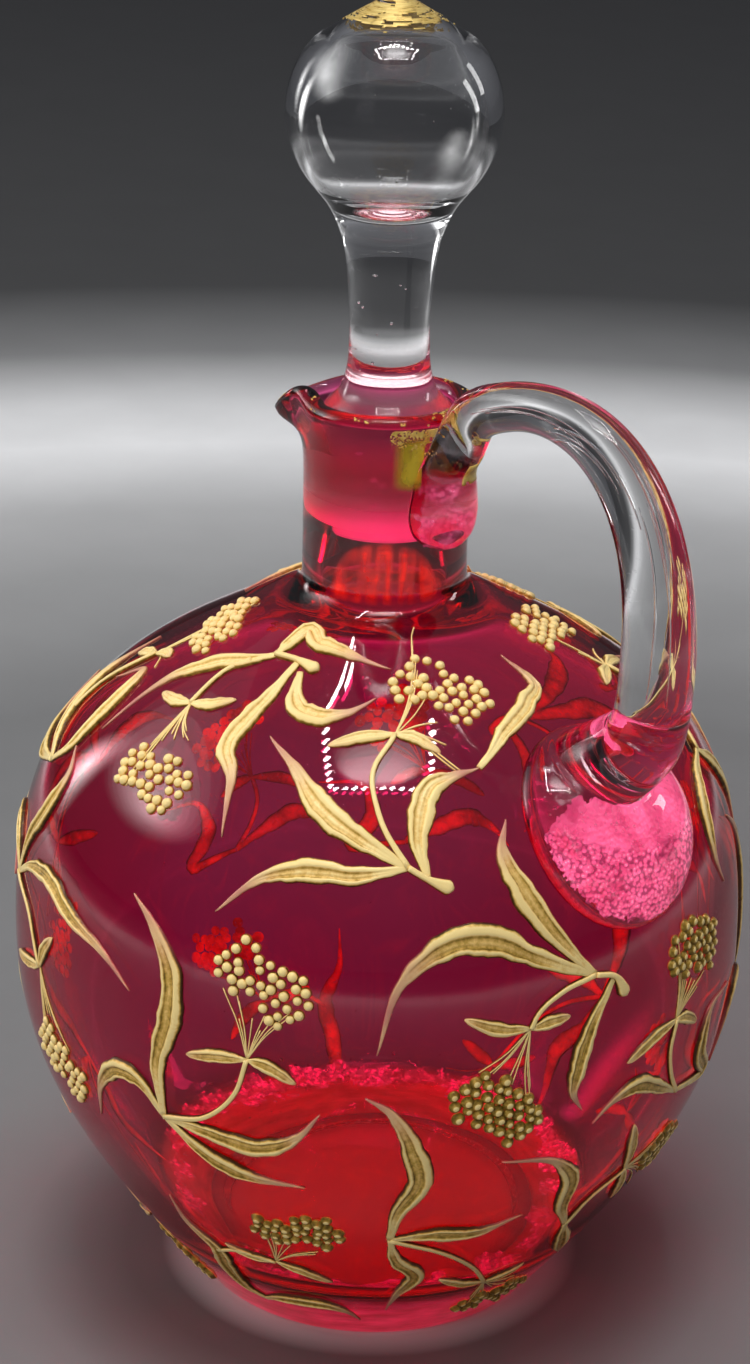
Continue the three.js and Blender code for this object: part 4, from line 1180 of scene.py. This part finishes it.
SPRAYS = {
    "shoulder_front": {
        "leaves": [
            [(50, 80.4), (42, 83.2), (34, 86), (28, 88.8), (19, 91.2)],
            [(50, 80.4), (42, 79.6), (33, 79.6), (26, 78), (20, 73.6)],
            [(53, 79.2), (52, 83.6), (54, 87.2), (60, 88.7), (66, 89.2)],
            [(66, 89.2), (75, 91.6), (87, 93.5), (94.5, 95.3), (92.5, 97.3)],
        ],
        "stems": [
            [(50, 80.4), (53, 79.2), (57, 78)],
            [(50, 80.4), (45, 85.6), (43.5, 88.8), (48.5, 92.4)],
        ],
        "bracts": [[(41, 92.1), (33, 91.2)], [(53, 92.1), (58.5, 90.8)]],
        "head": (63.5, 95.7),
        "head_size": 1.06,
    },
    "shoulder_left": {
        "leaves": [
            [(4, 97.3), (5, 98.3), (19, 98.9), (35, 98.3), (48, 97.5)],
            [(4, 97.3), (-3, 96.3), (-16, 94.3), (-22.5, 91.6), (-24, 85.6)],
            [(14, 97.3), (12, 93.6), (10, 90.4), (15.5, 86.8), (18, 81.6)],
        ],
        "stems": [[(4, 97.3), (14, 97.3), (23, 96.9)], [(-3, 96.3), (-8, 94.1), (-7.3, 91.6)]],
        "bracts": [[(-12, 91.2), (-18.5, 91.1)], [(-2, 92.1), (4, 93.2)]],
        "head": (-2, 84.8),
        "head_size": 0.94,
    },
    "shoulder_right": {
        "leaves": [
            [(126, 81.6), (118, 80), (113.5, 76), (112.5, 71.5), (114.5, 67.1)],
            [(126, 81.6), (130, 78.8), (134, 73.2), (133, 67.5)],
        ],
        "stems": [[(126, 81.6), (131, 86.8), (128, 92.1)]],
        "bracts": [[(123, 92.1), (118, 91.6)], [(133, 91.8), (138, 91)]],
        "head": (129.5, 96.9),
        "head_size": 0.94,
    },
    "shoulder_far_left": {
        "leaves": [
            [(-34, 78.8), (-29, 82.8), (-29.5, 87.6), (-34, 90.8), (-41, 88.4)],
            [(-34, 78.8), (-43, 82), (-50, 87.6), (-52, 92)],
            [(-34, 78.8), (-44, 77.2), (-54, 78.8), (-62, 83.6)],
        ],
        "stems": [[(-43, 82), (-44, 86.8), (-40, 92)]],
        "bracts": [[(-44, 91.3), (-48, 90.4)], [(-36, 92.8), (-33, 92.9)]],
        "head": (-34, 96.8),
        "head_size": 0.94,
    },
    "side_left": {
        "leaves": [
            [(-31, 63.9), (-28, 69.9), (-24, 75.6), (-23, 79.6), (-28, 82.8)],
            [(-31, 63.9), (-23, 67.5), (-16, 68.3), (-8, 65.9), (1, 63.5), (6.5, 60.3)],
            [(-31, 63.9), (-37, 67.5), (-44, 68.7), (-50, 66.7)],
        ],
        "stems": [[(-31, 63.9), (-22, 61.1), (-17, 55.5)]],
        "bracts": [[(-15.5, 58.3), (-13, 61.1)], [(-22, 54.3), (-28.5, 53.1)]],
        "head": (-11.5, 43.4),
        "head_size": 1,
    },
    "middle_left": {
        "leaves": [
            [(12.5, 43.8), (12, 51.4), (14, 58.7), (14, 64.3), (9.5, 69.9), (5, 72.7)],
            [(12.5, 43.8), (20, 43.4), (29, 42.8), (34, 45), (37.5, 49)],
            [(12.5, 43.8), (8, 48.2), (3.5, 48.2), (-0.5, 44.2), (-2.5, 38.6)],
            [(12.5, 43.8), (20, 39.4), (27, 37.4), (35, 36.8)],
        ],
        "stems": [[(12.5, 43.8), (20, 45.8), (25, 50.6), (26.7, 55.5)]],
        "bracts": [[(22, 55.2), (17, 54.3)], [(30, 55), (34, 53.1)]],
        "head": (28.5, 65.9),
        "head_size": 1,
    },
    "middle_front": {
        "leaves": [
            [(79, 65.1), (73, 70.7), (68, 77.2), (66, 81.6), (68, 84.4)],
            [(79, 65.1), (70, 68.7), (62, 71.9), (55, 71.5), (49, 67.5), (45.5, 57.9)],
            [(82.5, 64.1), (78, 58.1), (76, 53.1), (75.5, 49.4), (77.5, 46.2)],
        ],
        "stems": [
            [(79, 65.1), (82.5, 64.1), (84.5, 61.1)],
            [(79, 65.1), (73, 63.9), (69, 61.5), (68, 59.9)],
        ],
        "bracts": [[(63, 60.5), (58, 62.3)], [(71, 60.3), (74.5, 60.5)]],
        "head": (63.5, 49),
        "head_size": 1,
    },
    "middle_right": {
        "leaves": [
            [(99.5, 41.8), (94, 44.5), (88, 47), (84, 46.2), (80, 43.4)],
            [(99.5, 41.8), (110, 41), (105.5, 45.8), (107, 50.6), (116, 51.8)],
        ],
        "stems": [[(99.5, 41.8), (96.5, 45.8), (95.3, 49.8), (96.3, 53.9)]],
        "bracts": [[(91, 53.1), (85.5, 51)], [(99, 53.3), (102.5, 51.4)]],
        "head": (102, 62.3),
        "head_size": 0.94,
    },
    "lower_right": {
        "leaves": [
            [(84, 23.3), (79.5, 28.9), (78.5, 34.6), (75, 38.2), (65, 40.6)],
            [(84, 23.3), (87, 19.3), (91, 15.3), (97, 11.3)],
        ],
        "stems": [[(84, 23.3), (86, 27.3), (93, 30.9)]],
        "bracts": [[(91.5, 35.4), (90, 39.8)], [(95, 27.3), (97, 23.3)]],
        "head": (107, 28.9),
        "head_size": 1,
    },
    "foot_front": {
        "leaves": [
            [(48.5, 27.3), (49.5, 33), (52.5, 38.6), (51, 44.2), (47.5, 49.8), (44, 51.8)],
            [(48.5, 27.3), (56, 28.1), (64, 27.5), (71.5, 29.3)],
            [(48.5, 27.3), (50, 22.5), (54.5, 18.1), (51.5, 12.9), (49.5, 8)],
        ],
        "stems": [[(48.5, 27.3), (58, 23.7), (66, 18.5), (72, 12.9)]],
        "bracts": [[(66, 14.1), (60, 16.1)], [(76, 13.7), (81, 14.9)]],
        "head": (79, 6.8),
        "head_size": 0.75,
    },
    "foot_left": {
        "leaves": [
            [(17, 6.8), (13, 8.8), (12, 13.7), (13, 18.1), (8.5, 23.3), (8, 28.1)],
            [(17, 6.8), (23, 8.4), (31, 9.1), (39, 7.6), (43, 4.8)],
        ],
        "stems": [[(13, 18.1), (18, 19.7), (26.5, 19.3)]],
        "bracts": [[(22, 19.5), (16, 20.5)], [(31, 18.3), (37.5, 15.7)]],
        "head": (32.5, 27.3),
        "head_size": 0.88,
    },
}

# The far side repeats these sprays, turned round the body.
FAR_SPRAYS = [
    ("shoulder_back_right", "shoulder_front", 120),
    ("middle_back_right", "middle_front", 120),
    ("side_back_right", "middle_left", 120),
    ("side_back", "middle_right", 120),
    ("foot_back", "foot_front", 120),
    ("foot_back_right", "foot_left", 112),
    ("shoulder_back_left", "shoulder_left", 245),
    ("middle_back_left", "middle_right", 152),
    ("foot_back_left", "foot_left", 225),
    ("side_back_left", "side_left", -45),
    ("foot_side_left", "foot_front", -95),
]
LOOSE_LEAF = [(17, 96.5), (20, 94.5), (27, 93.4), (35, 93.8), (43.5, 95.2)]

# Leaves that are wider than the rest, by spray and place in its list
BROAD_LEAVES = {
    ("middle_front", 1): 1.28,
    ("middle_front", 0): 1.05,
    ("middle_left", 0): 1.2,
    ("foot_front", 0): 1.1,
    ("shoulder_front", 0): 1.15,
    ("shoulder_front", 2): 1.1,
}

# Heads with dark beads that have a light top
GROUNDED_HEADS = ["middle_front", "middle_right", "lower_right", "foot_left", "foot_front"]

# Width along a stroke, from the stem outwards, in shares of its length and half width
LEAF_WIDTHS = [
    (0, 0.3),
    (0.12, 0.45),
    (0.28, 0.85),
    (0.42, 1),
    (0.56, 0.95),
    (0.7, 0.6),
    (0.8, 0.33),
    (0.9, 0.2),
    (1, 0.05),
]
BRACT_WIDTHS = [(0, 0.25), (0.2, 0.7), (0.45, 1), (0.75, 0.85), (0.93, 0.5), (1, 0.15)]
STEM_WIDTHS = [(0, 1), (0.5, 0.8), (1, 0.85)]
KNOB_WIDTHS = [(0, 1), (0.5, 1), (0.75, 1.8), (0.88, 2.3), (0.96, 1.8), (1, 0.6)]
RAY_WIDTHS = [(0, 1), (1, 1)]

# Across a stroke: offsets from its middle, and the height and light enamel of a plain round one
OFFSETS = np.sin(np.linspace(-0.5, 0.5, 37) * math.pi)
CROWN = (1 - np.abs(OFFSETS) ** 3.5) ** 0.5
LIT = np.clip(2.6 * CROWN - 1.15, 0, 1)


def on_sheet(spot, turn, lift):
    azimuth, up = spot
    return on_glass(azimuth + turn, up / 100 * SHOULDER_END_HEIGHT, lift)


class Strokes:
    """Raised strokes gathered into one piece, with how light and rosy each of their points is, and how much
    painted glow it has.
    """

    def __init__(self, turn, seed):
        self.turn = turn
        self.chance = random.Random(seed)
        self.shells = []
        self.marks = {"relief": [], "along": [], "under": []}

    def piece(self, name, nodes):
        shell = together(self.shells)
        piece(name, shell, raised_enamel, "bottle", nodes, self.marks)

    def add(self, shell, relief, along=None, under=None):
        self.shells.append(facing(shell))
        blank = np.zeros(len(relief))
        for label, values in (("relief", relief), ("along", along), ("under", under)):
            self.marks[label].extend(blank if values is None else values)

    def draw(self, points, half_width, widths, thickness, valley=0.0, rosy=0.0, steps=8, every=1):
        """A stroke whose raised borders stand either side of a valley, as deep as the valley says."""
        line = smooth_line(points, steps)
        shares = np.linspace(0, 1, len(line))
        width_at = np.interp(shares, *zip(*widths))
        spots = [on_sheet(spot, self.turn, 0) for spot in line]
        places = np.array([place for place, _ in spots])
        forward = np.gradient(places, axis=0)
        shift = self.chance.choice([-0.14, 0.14]) * valley
        wander = self.chance.uniform(0, 99)
        offsets = OFFSETS[::every]
        hollow = np.exp(-(((offsets - shift) / 0.42) ** 4))
        lines = np.exp(-(((np.abs(offsets - shift) - 0.36) / 0.07) ** 2))
        ridge = np.exp(-(((offsets - shift) / 0.13) ** 2))
        rings, relief, along, under = [], [], [], []
        for i, (point, normal) in enumerate(spots):
            side = unit(np.cross(normal, forward[i]))
            wave = [1 + 0.28 * valley * noise_at((0.45 * i, wander + way, 0), 1.0) for way in (-5, 5)]
            reach = half_width * width_at[i] * offsets * np.where(offsets < 0, *wave)
            openness = valley * clamp(2.6 * width_at[i] - 0.9)
            rise = thickness * max(0.3, min(1, width_at[i]) ** 0.7)
            heights = rise * CROWN[::every] * (1 - openness * (0.55 * hollow - 0.16 * ridge))
            upper = point + np.outer(reach, side) + np.outer(heights, normal)
            lower = point + np.outer(0.96 * reach[::-1], side) - ENAMEL_DEPTH * normal
            rings.append(np.vstack([upper, lower]))
            shown = LIT[::every] * (1 - openness * (0.52 * hollow - 0.14 * ridge))
            relief.extend([*(shown - 0.44 * openness * lines), *np.zeros(len(offsets))])
            along.extend(np.full(2 * len(offsets), rosy * clamp((shares[i] - 0.6) / 0.24)))
            # The underside carries the painted glow, strongest in the middle of the stroke
            under.extend([*np.zeros(len(offsets)), *(1 - np.abs(offsets) ** 3)])
        self.add(skinned(rings), [*relief, 0.5, 0.5], [*along, 0, rosy], [*under, 0, 0])


def draw_rays(strokes, spray, chance):
    """Hair-fine rays from the bracts' fork to the near edge of the head."""
    fork = np.array(spray["stems"][-1][-1], float)
    head = np.array(spray["head"], float)
    radius = spray["head_size"] * HEAD_RADIUS
    degrees_per_mm = math.degrees(1 / body_at(head[1])[0])
    towards = np.array([(head[0] - fork[0]) / degrees_per_mm, head[1] - fork[1]])
    heading = math.atan2(towards[1], towards[0])
    for i in range(RAY_COUNT):
        spread = math.radians(-72 + 16 * i + chance.uniform(-5, 5))
        reach = radius * chance.uniform(0.5, 0.85)
        away = heading + math.pi - spread
        away = np.array([math.cos(away), math.sin(away)])
        end = head + reach * away * [degrees_per_mm, 1]
        bend = fork + 0.5 * (end - fork) + 0.06 * (end - fork)[::-1] * [1, -1] * math.sin(spread)
        strokes.draw([fork, bend, end], RAY_HALF_WIDTH, RAY_WIDTHS, RAY_THICKNESS, steps=5, every=12)


def leaves_piece(name, pattern, turn):
    spray = SPRAYS[pattern]
    strokes = Strokes(turn, name)
    chance = strokes.chance
    for i, points in enumerate(spray["leaves"]):
        half_width = LEAF_HALF_WIDTH * BROAD_LEAVES.get((pattern, i), chance.uniform(0.86, 0.98))
        strokes.draw(points, half_width, LEAF_WIDTHS, LEAF_THICKNESS, 1.0, 1.0)
    for i, points in enumerate(spray["stems"]):
        knobbed = i == 0 and len(spray["stems"]) > 1
        widths = KNOB_WIDTHS if knobbed else STEM_WIDTHS
        strokes.draw(points, STEM_HALF_WIDTH, widths, (1 if knobbed else 0.7) * LEAF_THICKNESS, every=2)
    for points in spray["bracts"]:
        points = [spray["stems"][-1][-1], *points]
        strokes.draw(points, BRACT_HALF_WIDTH, BRACT_WIDTHS, 0.8 * LEAF_THICKNESS, 0.8, 0.3)
    draw_rays(strokes, spray, chance)
    strokes.piece(f"{name}_foliage", [f"{name}_leaves"])


# Rings of a bead: spread, rise and light enamel, in shares of its radius and height
LONE_BEAD = [(1.12, 0.1, 0.1), (1, 0.3, 0.3), (0.9, 0.56, 0.9), (0.7, 0.8, 1), (0.4, 0.95, 1), (0.12, 1, 1)]
GROUNDED_BEAD = [
    (1.3, 0.15, 0.3),
    (1.1, 0.45, 0.3),
    (0.85, 0.7, 0.35),
    (0.66, 0.84, 0.4),
    (0.54, 0.92, 1),
    (0.14, 1, 1),
]


def bead(point, normal, radius, height, rings):
    across = unit(np.cross((0.3, 0.2, 1.0), normal))
    other = np.cross(normal, across)
    angles = turns(BEAD_SIDES)[:, None]
    circle = radius * (np.cos(angles) * across + np.sin(angles) * other)
    shell = [point + rings[0][0] * circle - ENAMEL_DEPTH * normal]
    relief = [0.0] * BEAD_SIDES
    for spread, rise, shown in rings:
        shell.append(point + spread * circle + rise * height * normal)
        relief.extend([shown] * BEAD_SIDES)
    # The bead's underside carries the painted glow
    under = [1.0] * BEAD_SIDES + [0.0] * (BEAD_SIDES * len(rings))
    return skinned(shell), [*relief, 0, 1], [*under, 1, 0]


def head_spots(size, chance):
    """Where a head's beads sit: a loose grid inside two lobes, with a few beads left out."""
    tilt = chance.uniform(-0.45, 0.45)
    cosine, sine = math.cos(tilt), math.sin(tilt)
    rows = int(HEAD_RADIUS / BEAD_PITCH) + 2
    spots = []
    for row in range(-rows, rows + 1):
        for column in range(-rows - 1, rows + 2):
            u = BEAD_PITCH * (column + 0.5 * (row % 2)) + chance.uniform(-0.32, 0.32)
            v = BEAD_PITCH * 0.866 * row + chance.uniform(-0.32, 0.32)
            outside = min(math.hypot(u + 3.3, v - 0.8) / 4.5, math.hypot(u - 3.2, v + 0.6) / 4.9)
            if outside < size * chance.uniform(0.92, 1.12) and chance.random() > 0.06:
                spots.append((u * cosine - v * sine, u * sine + v * cosine))
    return spots


def beads_piece(name, pattern, turn):
    spray = SPRAYS[pattern]
    strokes = Strokes(turn, name + "_beads")
    chance = strokes.chance
    centre, normal = on_sheet(spray["head"], turn, 0)
    across = unit(np.cross((0, 0, 1), normal))
    rise = np.cross(normal, across)
    rings = GROUNDED_BEAD if pattern in GROUNDED_HEADS else LONE_BEAD
    for u, v in head_spots(spray["head_size"], chance):
        seat = seat_on_glass(centre + u * across + v * rise, normal, 0)
        _radius, outward, upward = body_at(seat[2])
        azimuth = azimuth_of(seat)
        radius = BEAD_RADIUS * chance.uniform(0.85, 1.05)
        height = radius * chance.uniform(0.95, 1.15)
        shell, relief, under = bead(seat, around(azimuth, outward, upward), radius, height, rings)
        strokes.add(shell, relief, under=under)
    strokes.piece(f"{name}_umbel", [f"{name}_beads"])


# Gilding


def rim_spot(along, turn, lift):
    """A place on the mouth, from below its round edge over it to the seat."""
    run = RIM_GILDING_LENGTH * along - RIM_GILDING_DROP
    angle = max(0, run) / rim_edge
    height = rim_height - rim_edge + min(0, run)
    reach = rim_edge + lift
    radius = rim_middle + reach * math.cos(angle) if run > 0 else flare_radius(height) + lift
    return pull_lip([around(360 * turn, radius, height + reach * math.sin(angle))])[0]


def rim_stays(along, turn, spot):
    wear = noise_at(spot, 3.0) + 0.8 * noise_at(spot, 0.55)
    near_handle = math.exp(-(((360 * turn - RIM_GILDING_AZIMUTH) / RIM_GILDING_SPREAD) ** 2))
    return wear > 1.1 * abs(along - 0.6) + 0.64 - 0.9 * near_handle


def tip_spot(along, turn, lift):
    radius = 0.25 + (TIP_GILDING_RADIUS - 0.25) * along
    return around(360 * turn, radius, tip_height_at(radius) + lift)


def tip_stays(along, turn, spot):
    x, y, z = spot
    wear = noise_at((x, y, z * 6), 3.0) + 0.5 * noise_at((x * 0.5, y * 0.5, z * 10), 1.0)
    return wear > 1.3 * along**3 - 0.5


def neck_spot(along, turn, lift):
    height = rim_height - rim_edge - NECK_GILDING_LENGTH * along
    return around(NECK_GILDING_AZIMUTH + NECK_GILDING_TURN * turn, flare_radius(height) + lift, height)


def neck_stays(along, turn, spot):
    wear = 0.8 * noise_at(spot, 1.1) + 0.9 * noise_at(spot, 0.3)
    return wear > 1.1 * along - 0.4 + 0.5 * max(0, 0.35 - turn)


# A painted reflection of the strap's gilding, laid on the neck beside the strap
def patch_spot(along, turn, lift):
    height = rim_height - PATCH_DROP - PATCH_LENGTH * along
    return around(PATCH_AZIMUTH + PATCH_TURN * turn, flare_radius(height) + 0.5 * lift, height)


def patch_marks(point):
    """The painted reflection of the strap's gilding thins out towards its left side, its top and its foot.
    """
    along = (rim_height - PATCH_DROP - point[2]) / PATCH_LENGTH
    turn = (azimuth_of(point) - PATCH_AZIMUTH) / PATCH_TURN
    return clamp(2.2 * turn) ** 1.5 * clamp(5 * (1 - along)) * clamp(5 * along)


def strap_spot(along, turn, lift):
    ring = handle_rod[GILDED_RING + round(GILDED_RINGS * along)]
    spot = ring[round(GILDED_SIDE - GILDED_SIDES * turn) % ROD_SIDES]
    return spot + lift * unit(spot - ring.mean(axis=0))


def strap_stays(along, turn, spot):
    return noise_at(spot, 1.6) + 0.4 * noise_at(spot, 0.6) > 1.2 * abs(along - 0.5) - 0.5


# Stage

FLOOR_RADIUS = 4.0

# Grey of the floor by distance from the decanter, in shares of the reach: a painted pool of light under the
# foot, a painted shadow round it, and further out a painted band of light that fades into painted dark
FLOOR_TONE_REACH = 1.6
FLOOR_PAINTED_LIGHT = [
    *[(0.0, 0.95), (0.0186, 0.98), (0.0199, 0.06), (0.028, 0.07), (0.04, 0.2), (0.1, 0.21), (0.16, 0.2)],
    *[(0.22, 0.34), (0.26, 0.5), (0.3, 0.95), (0.33, 0.8), (0.37, 0.25), (0.43, 0.06), (1.0, 0.04)],
]

# Grey of the world by height, and its tint
WORLD_TONES = [(0.0, 0.06), (0.35, 0.11), (1.0, 0.24)]
WORLD_TINT = (1, 1.02, 1.12)

# Lamps, in metres, degrees and watts
LIT_HEIGHT = 0.09
RING_LAMPS = 10
RING_LAMP_SIZE = (0.016, 0.03)
RING_LAMP_POWER = 0.08
RING_REACH = 0.3
RING_HEIGHT = 1.1
GLOW_LAYERS = 9
GLOW_DISTANCE = 1.4
GLOW_GAP = 0.01
OVERHEAD_GLOW_HEIGHT = 1.15
OVERHEAD_GLOW_POWER = 1.1
LEFT_GLOW_POWER = 5.4
FAR_LEFT_GLOW_POWER = 1.6
RIGHT_BOX_SIZE = (0.16, 0.5)
RIGHT_BOX_POWER = 1.8
FRONT_FILL_POWER = 11.5


def make_floor():
    rim = [FLOOR_RADIUS * np.array([math.cos(angle), math.sin(angle), 0]) for angle in turns(FLOOR_SIDES)]
    faces = [(0, i + 1, (i + 1) % FLOOR_SIDES + 1) for i in range(FLOOR_SIDES)]
    mesh = bpy.data.meshes.new("floor")
    mesh.from_pydata([(0, 0, 0), *rim], [], faces)
    floor = bpy.data.objects.new("floor", mesh)
    bpy.context.scene.collection.objects.link(floor)
    nodes = Nodes(bpy.data.materials.new("floor"))
    place = nodes.place()
    distance = nodes.add("ShaderNodeVectorMath", {0: place}, operation="LENGTH").outputs["Value"]
    # Painted light and shade on the floor, by distance from the decanter
    level = nodes.grey_ramp(nodes.math("DIVIDE", distance, FLOOR_TONE_REACH), FLOOR_PAINTED_LIGHT)
    mottle = nodes.grey_ramp(nodes.noise(place, 30.0, 4.0), [(0.3, 0.93), (0.7, 1.0)])
    colour = nodes.blend(1.0, level, mottle, "MULTIPLY")
    mesh.materials.append(nodes.surface({"Base Color": colour, "Roughness": 0.55}))


def make_world():
    world = bpy.data.worlds.new("world")
    bpy.context.scene.world = world
    nodes = Nodes(world, "ShaderNodeOutputWorld")
    place = nodes.add("ShaderNodeTexCoord").outputs["Generated"]
    height = nodes.add("ShaderNodeSeparateXYZ", {"Vector": place}).outputs["Z"]
    stops = [(position, [level * tint for tint in WORLD_TINT]) for position, level in WORLD_TONES]
    nodes.end(nodes.add("ShaderNodeBackground", {"Color": nodes.ramp(height, stops)}))


def area_light(name, place, aim, width, height, power, shape="RECTANGLE", reflected=True):
    data = bpy.data.lights.new(name, "AREA")
    data.shape = shape
    data.size = width
    data.size_y = height
    data.energy = power
    lamp = bpy.data.objects.new(name, data)
    bpy.context.scene.collection.objects.link(lamp)
    lamp.location = place
    lamp.rotation_mode = "QUATERNION"
    lamp.rotation_quaternion = (Vector(aim) - Vector(place)).to_track_quat("-Z", "Y")
    lamp.visible_glossy = reflected
    lamp.visible_transmission = reflected


def from_object(azimuth, elevation, distance):
    tilt = math.radians(elevation)
    return Vector((0, 0, LIT_HEIGHT)) + distance * Vector(around(azimuth, math.cos(tilt), math.sin(tilt)))


def make_lights():
    """A square ring of small lamps overhead, three layered glows, a box and a fill from the front."""
    middle = Vector((0, 0, LIT_HEIGHT))
    for side in range(4):
        corner = around(90 + 90 * side, RING_REACH, RING_HEIGHT)
        next_corner = around(180 + 90 * side, RING_REACH, RING_HEIGHT)
        for i in range(RING_LAMPS):
            place = Vector(corner + (next_corner - corner) * (i + 0.5) / RING_LAMPS)
            below = place - Vector((0, 0, 1))
            area_light(f"ring_lamp_{side}_{i}", place, below, *RING_LAMP_SIZE, RING_LAMP_POWER)
    for i in range(GLOW_LAYERS):
        share = 1 - i / GLOW_LAYERS
        weight = (i + 1) / GLOW_LAYERS * share**2
        above = OVERHEAD_GLOW_HEIGHT + 0.5 * GLOW_GAP * i
        overhead = Vector(around(CAMERA_AZIMUTH, 0.03 + 0.13 * (1 - share), above))
        away = GLOW_DISTANCE + GLOW_GAP * i
        left = from_object(-60 + 1.6 * i, 38 - i, away)
        far_left = from_object(-80, 12, away)
        for name, place, width, height, power in (
            ("overhead_glow", overhead, 0.24 + 0.16 * share, 0.38 * share, OVERHEAD_GLOW_POWER),
            ("left_glow", left, 1.6 * share, share, LEFT_GLOW_POWER),
            ("far_left_glow", far_left, 0.36 * share, 0.9 * share, FAR_LEFT_GLOW_POWER),
        ):
            area_light(f"{name}_{i}", place, middle, width, height, power * weight, "ELLIPSE")
    area_light("right_box", from_object(155, 24, 1.3), middle, *RIGHT_BOX_SIZE, RIGHT_BOX_POWER)
    area_light("front_fill", from_object(20, 38, 1.5), middle, 1.0, 1.0, FRONT_FILL_POWER, "ELLIPSE", False)


make_camera()
make_floor()
make_world()
make_lights()

piece("bottle_glass", bottle_shell(), cranberry_glass, "bottle", ["bottle"])
piece("handle_glass", handle_shell(), clear_glass, "bottle", ["handle"])
piece("stopper_glass", stopper_shell(), stopper_glass, "stopper", ["stopper"])
# The numbers of rows and columns of a layer follow from how fine its worn edges are
rim_gold = thin_layer(rim_spot, 26, 480, rim_stays, True)
piece("rim_gold", rim_gold, worn_gilding, "bottle", ["rim_gilding"])
tip_gold = thin_layer(tip_spot, 39, 300, tip_stays, True)
piece("stopper_tip_gold", tip_gold, turned_gilding, "stopper", ["stopper_tip_gilding"])
piece("neck_gold", thin_layer(neck_spot, 30, 84, neck_stays), worn_gilding, "bottle")
layer_piece("neck_gold_reflection", painted_gold_reflection, thin_layer(patch_spot, 40, 24), patch_marks)
strap_gold = thin_layer(strap_spot, GILDED_RINGS, GILDED_SIDES, strap_stays)
piece("strap_gold", strap_gold, worn_gilding, "bottle")
layer_piece("pad_seam", pink_seam_painted_glow, thin_layer(pad_film_spot, 110, 150, pad_film_stays), pad_film_marks)
strap_film = thin_layer(strap_film_spot, 60, 60, strap_film_stays)
layer_piece("strap_seam", pink_seam_painted_glow, strap_film, strap_film_marks)
# Painted glints: a bubbly pale film round the inside of the foot
foot_glint_film = thin_layer(foot_glint_spot, 16, 480, foot_glint_stays, True)
layer_piece("foot_seam_glints", pink_seam_painted_glow, foot_glint_film, foot_glint_marks)
# Painted glows of red light at the foot and the neck
foot_glow_layer = thin_layer(foot_glow_spot, 20, 180, closed=True)
layer_piece("foot_painted_glow", ruby_painted_glow, foot_glow_layer, foot_glow_marks)
layer_piece("neck_painted_glow", red_painted_glow, thin_layer(neck_glow_spot, 40, 90), neck_glow_marks)
for spray_name, pattern, spray_turn in [*((name, name, 0) for name in SPRAYS), *FAR_SPRAYS]:
    leaves_piece(spray_name, pattern, spray_turn)
    beads_piece(spray_name, pattern, spray_turn)
loose = Strokes(0, "loose_leaf")
loose.draw(LOOSE_LEAF, LEAF_HALF_WIDTH, LEAF_WIDTHS, LEAF_THICKNESS, 1.0, 1.0)
loose.piece("loose_leaf_stroke", ["loose_leaf"])

bpy.context.scene.view_settings.view_transform = "Standard"
